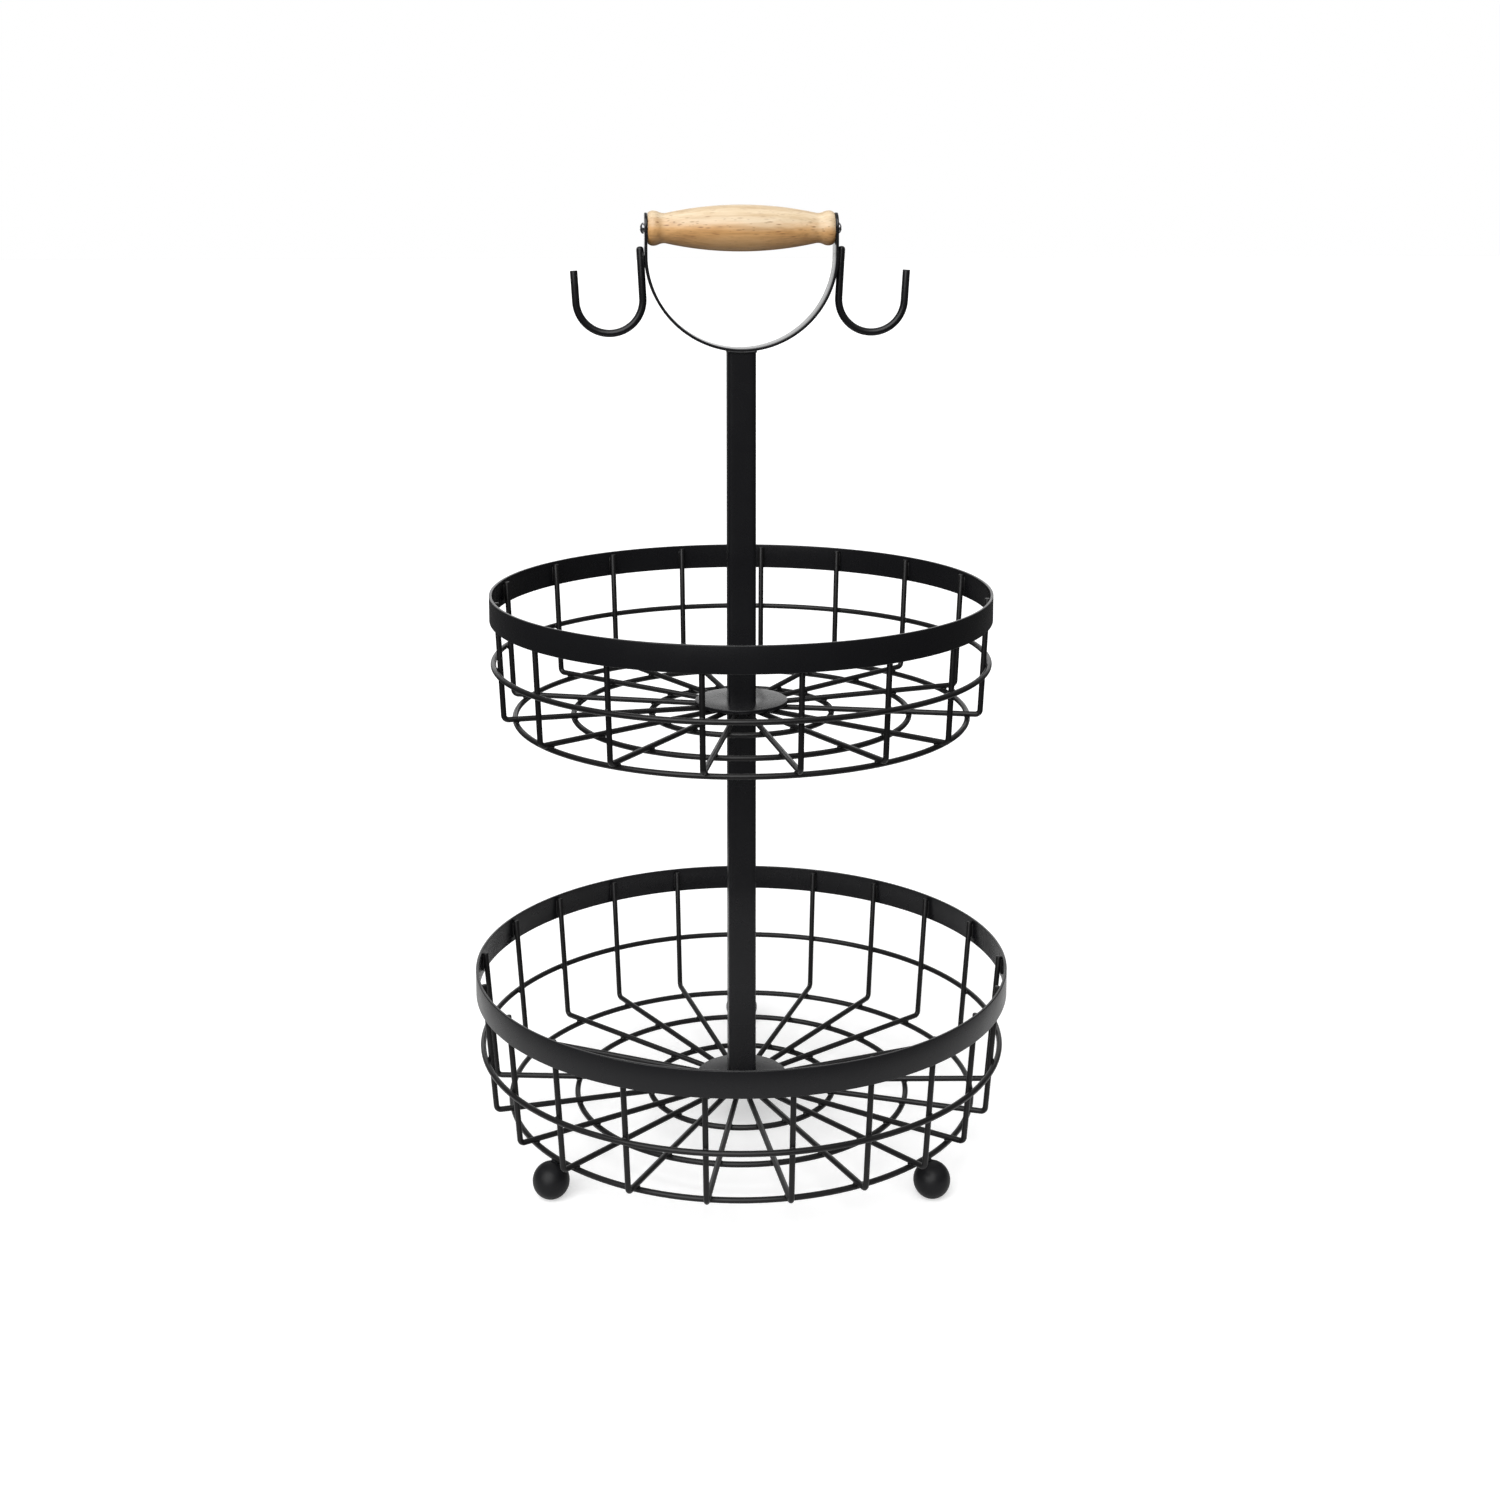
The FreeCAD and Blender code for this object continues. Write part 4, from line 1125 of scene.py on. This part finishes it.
def make_floor():
    """A plain pale floor under the stand."""
    bm = bmesh.new()
    bmesh.ops.create_grid(bm, x_segments=1, y_segments=1, size=FLOOR_SIZE)
    mesh = bpy.data.meshes.new("floor")
    bm.to_mesh(mesh)
    bm.free()
    material, tree, shader = new_material("pale floor")
    place = add_node(tree, "ShaderNodeTexCoord").outputs["Object"]
    distance = add_node(tree, "ShaderNodeVectorMath", operation="LENGTH", Vector=place)
    near = spread(tree, distance.outputs["Value"], LIT_RADIUS, DIM_RADIUS, 1.0, 0.0)
    camera_ray = add_node(tree, "ShaderNodeLightPath").outputs["Is Camera Ray"]
    shown = combine(tree, "MAXIMUM", near, camera_ray)
    pale = ramp(tree, shown, [(0.0, FLOOR_FAR), (1.0, FLOOR_NEAR)])
    bleach = spread(tree, camera_ray, 0.0, 1.0, 0.0, BLEACH)
    settle(tree, shader, Base_Color=pale, Roughness=0.8, Specular_IOR_Level=0.1, Emission_Color=WHITE,
           Emission_Strength=bleach)
    mesh.materials.append(material)
    floor = bpy.data.objects.new("floor", mesh)
    bpy.context.scene.collection.objects.link(floor)
    return floor


floor = make_floor()
print("floor:", floor.name)


# %% Light
KEY_PLACE = (-0.8, -1.75, 1.55)
KEY_STRENGTH = 3.3
KEY_WIDTH = math.radians(65)
OVERHEAD = (0.3, 0.9)
BACKDROP = (0.75, 0.95)


def make_world(seen, around, above, behind):
    """White for the camera; for all else dim, with more light overhead and behind the stand."""
    world = bpy.data.worlds.new("white studio")
    bpy.context.scene.world = world
    world.use_nodes = True
    tree = world.node_tree
    background = tree.nodes["Background"]
    generated = add_node(tree, "ShaderNodeTexCoord").outputs["Generated"]
    way = add_node(tree, "ShaderNodeSeparateXYZ", Vector=generated)
    overhead = spread(tree, way.outputs["Z"], *OVERHEAD, around, above)
    backdrop = spread(tree, way.outputs["Y"], *BACKDROP, around, behind)
    felt = combine(tree, "MAXIMUM", overhead, backdrop)
    camera_ray = add_node(tree, "ShaderNodeLightPath").outputs["Is Camera Ray"]
    settle(tree, background, Color=WHITE, Strength=spread(tree, camera_ray, 0.0, 1.0, felt, seen))


def soft_sun(name, place, strength, width):
    """Far light from the side of a place, as wide as the given angle."""
    lamp = bpy.data.lights.new(name, "SUN")
    lamp.energy = strength
    lamp.angle = width
    light = bpy.data.objects.new(name, lamp)
    light.location = place
    light.rotation_euler = (-light.location).to_track_quat("-Z", "Y").to_euler()
    bpy.context.scene.collection.objects.link(light)
    return light


make_world(seen=1.0, around=0.14, above=0.6, behind=1.25)
key = soft_sun("key", KEY_PLACE, KEY_STRENGTH, KEY_WIDTH)
bpy.context.scene.view_settings.view_transform = "Standard"
print("key light:", key.data.energy)

# %% [markdown]
# ## Camera
# The camera stands a metre in front of the stand, a little to the left of the grip's middle and about
# as high as the grip, and looks slightly down. The picture's centre lies below the line of sight,
# which is a shift of the lens.

# %% Place the camera
CAMERA_PLACE = Vector((-77.8, -1039.0, 511.8)) * MM
CAMERA_YAW = math.radians(4.54)
CAMERA_PITCH = math.radians(7.0)
PICTURE_SIZE = 1500
FOCAL_PIXELS = 1969
SIGHT_HEIGHT = 433.7
SENSOR_WIDTH = 36.0


def make_camera():
    """The camera at the photograph's viewing angle."""
    camera = bpy.data.cameras.new("camera")
    camera.sensor_width = SENSOR_WIDTH
    camera.sensor_fit = "HORIZONTAL"
    camera.lens = SENSOR_WIDTH * FOCAL_PIXELS / PICTURE_SIZE
    camera.shift_y = (SIGHT_HEIGHT - PICTURE_SIZE / 2) / PICTURE_SIZE
    camera.dof.use_dof = False
    view = bpy.data.objects.new("camera", camera)
    view.location = CAMERA_PLACE
    view.rotation_euler = (math.pi / 2 - CAMERA_PITCH, 0.0, -CAMERA_YAW)
    bpy.context.scene.collection.objects.link(view)
    bpy.context.scene.camera = view
    return view


camera = make_camera()
print("lens", round(camera.data.lens, 2), "mm, shift", round(camera.data.shift_y, 3))

# %% [markdown]
# ## Finish
# The last line updates the view layer.

# %% Finish
bpy.context.view_layer.update()
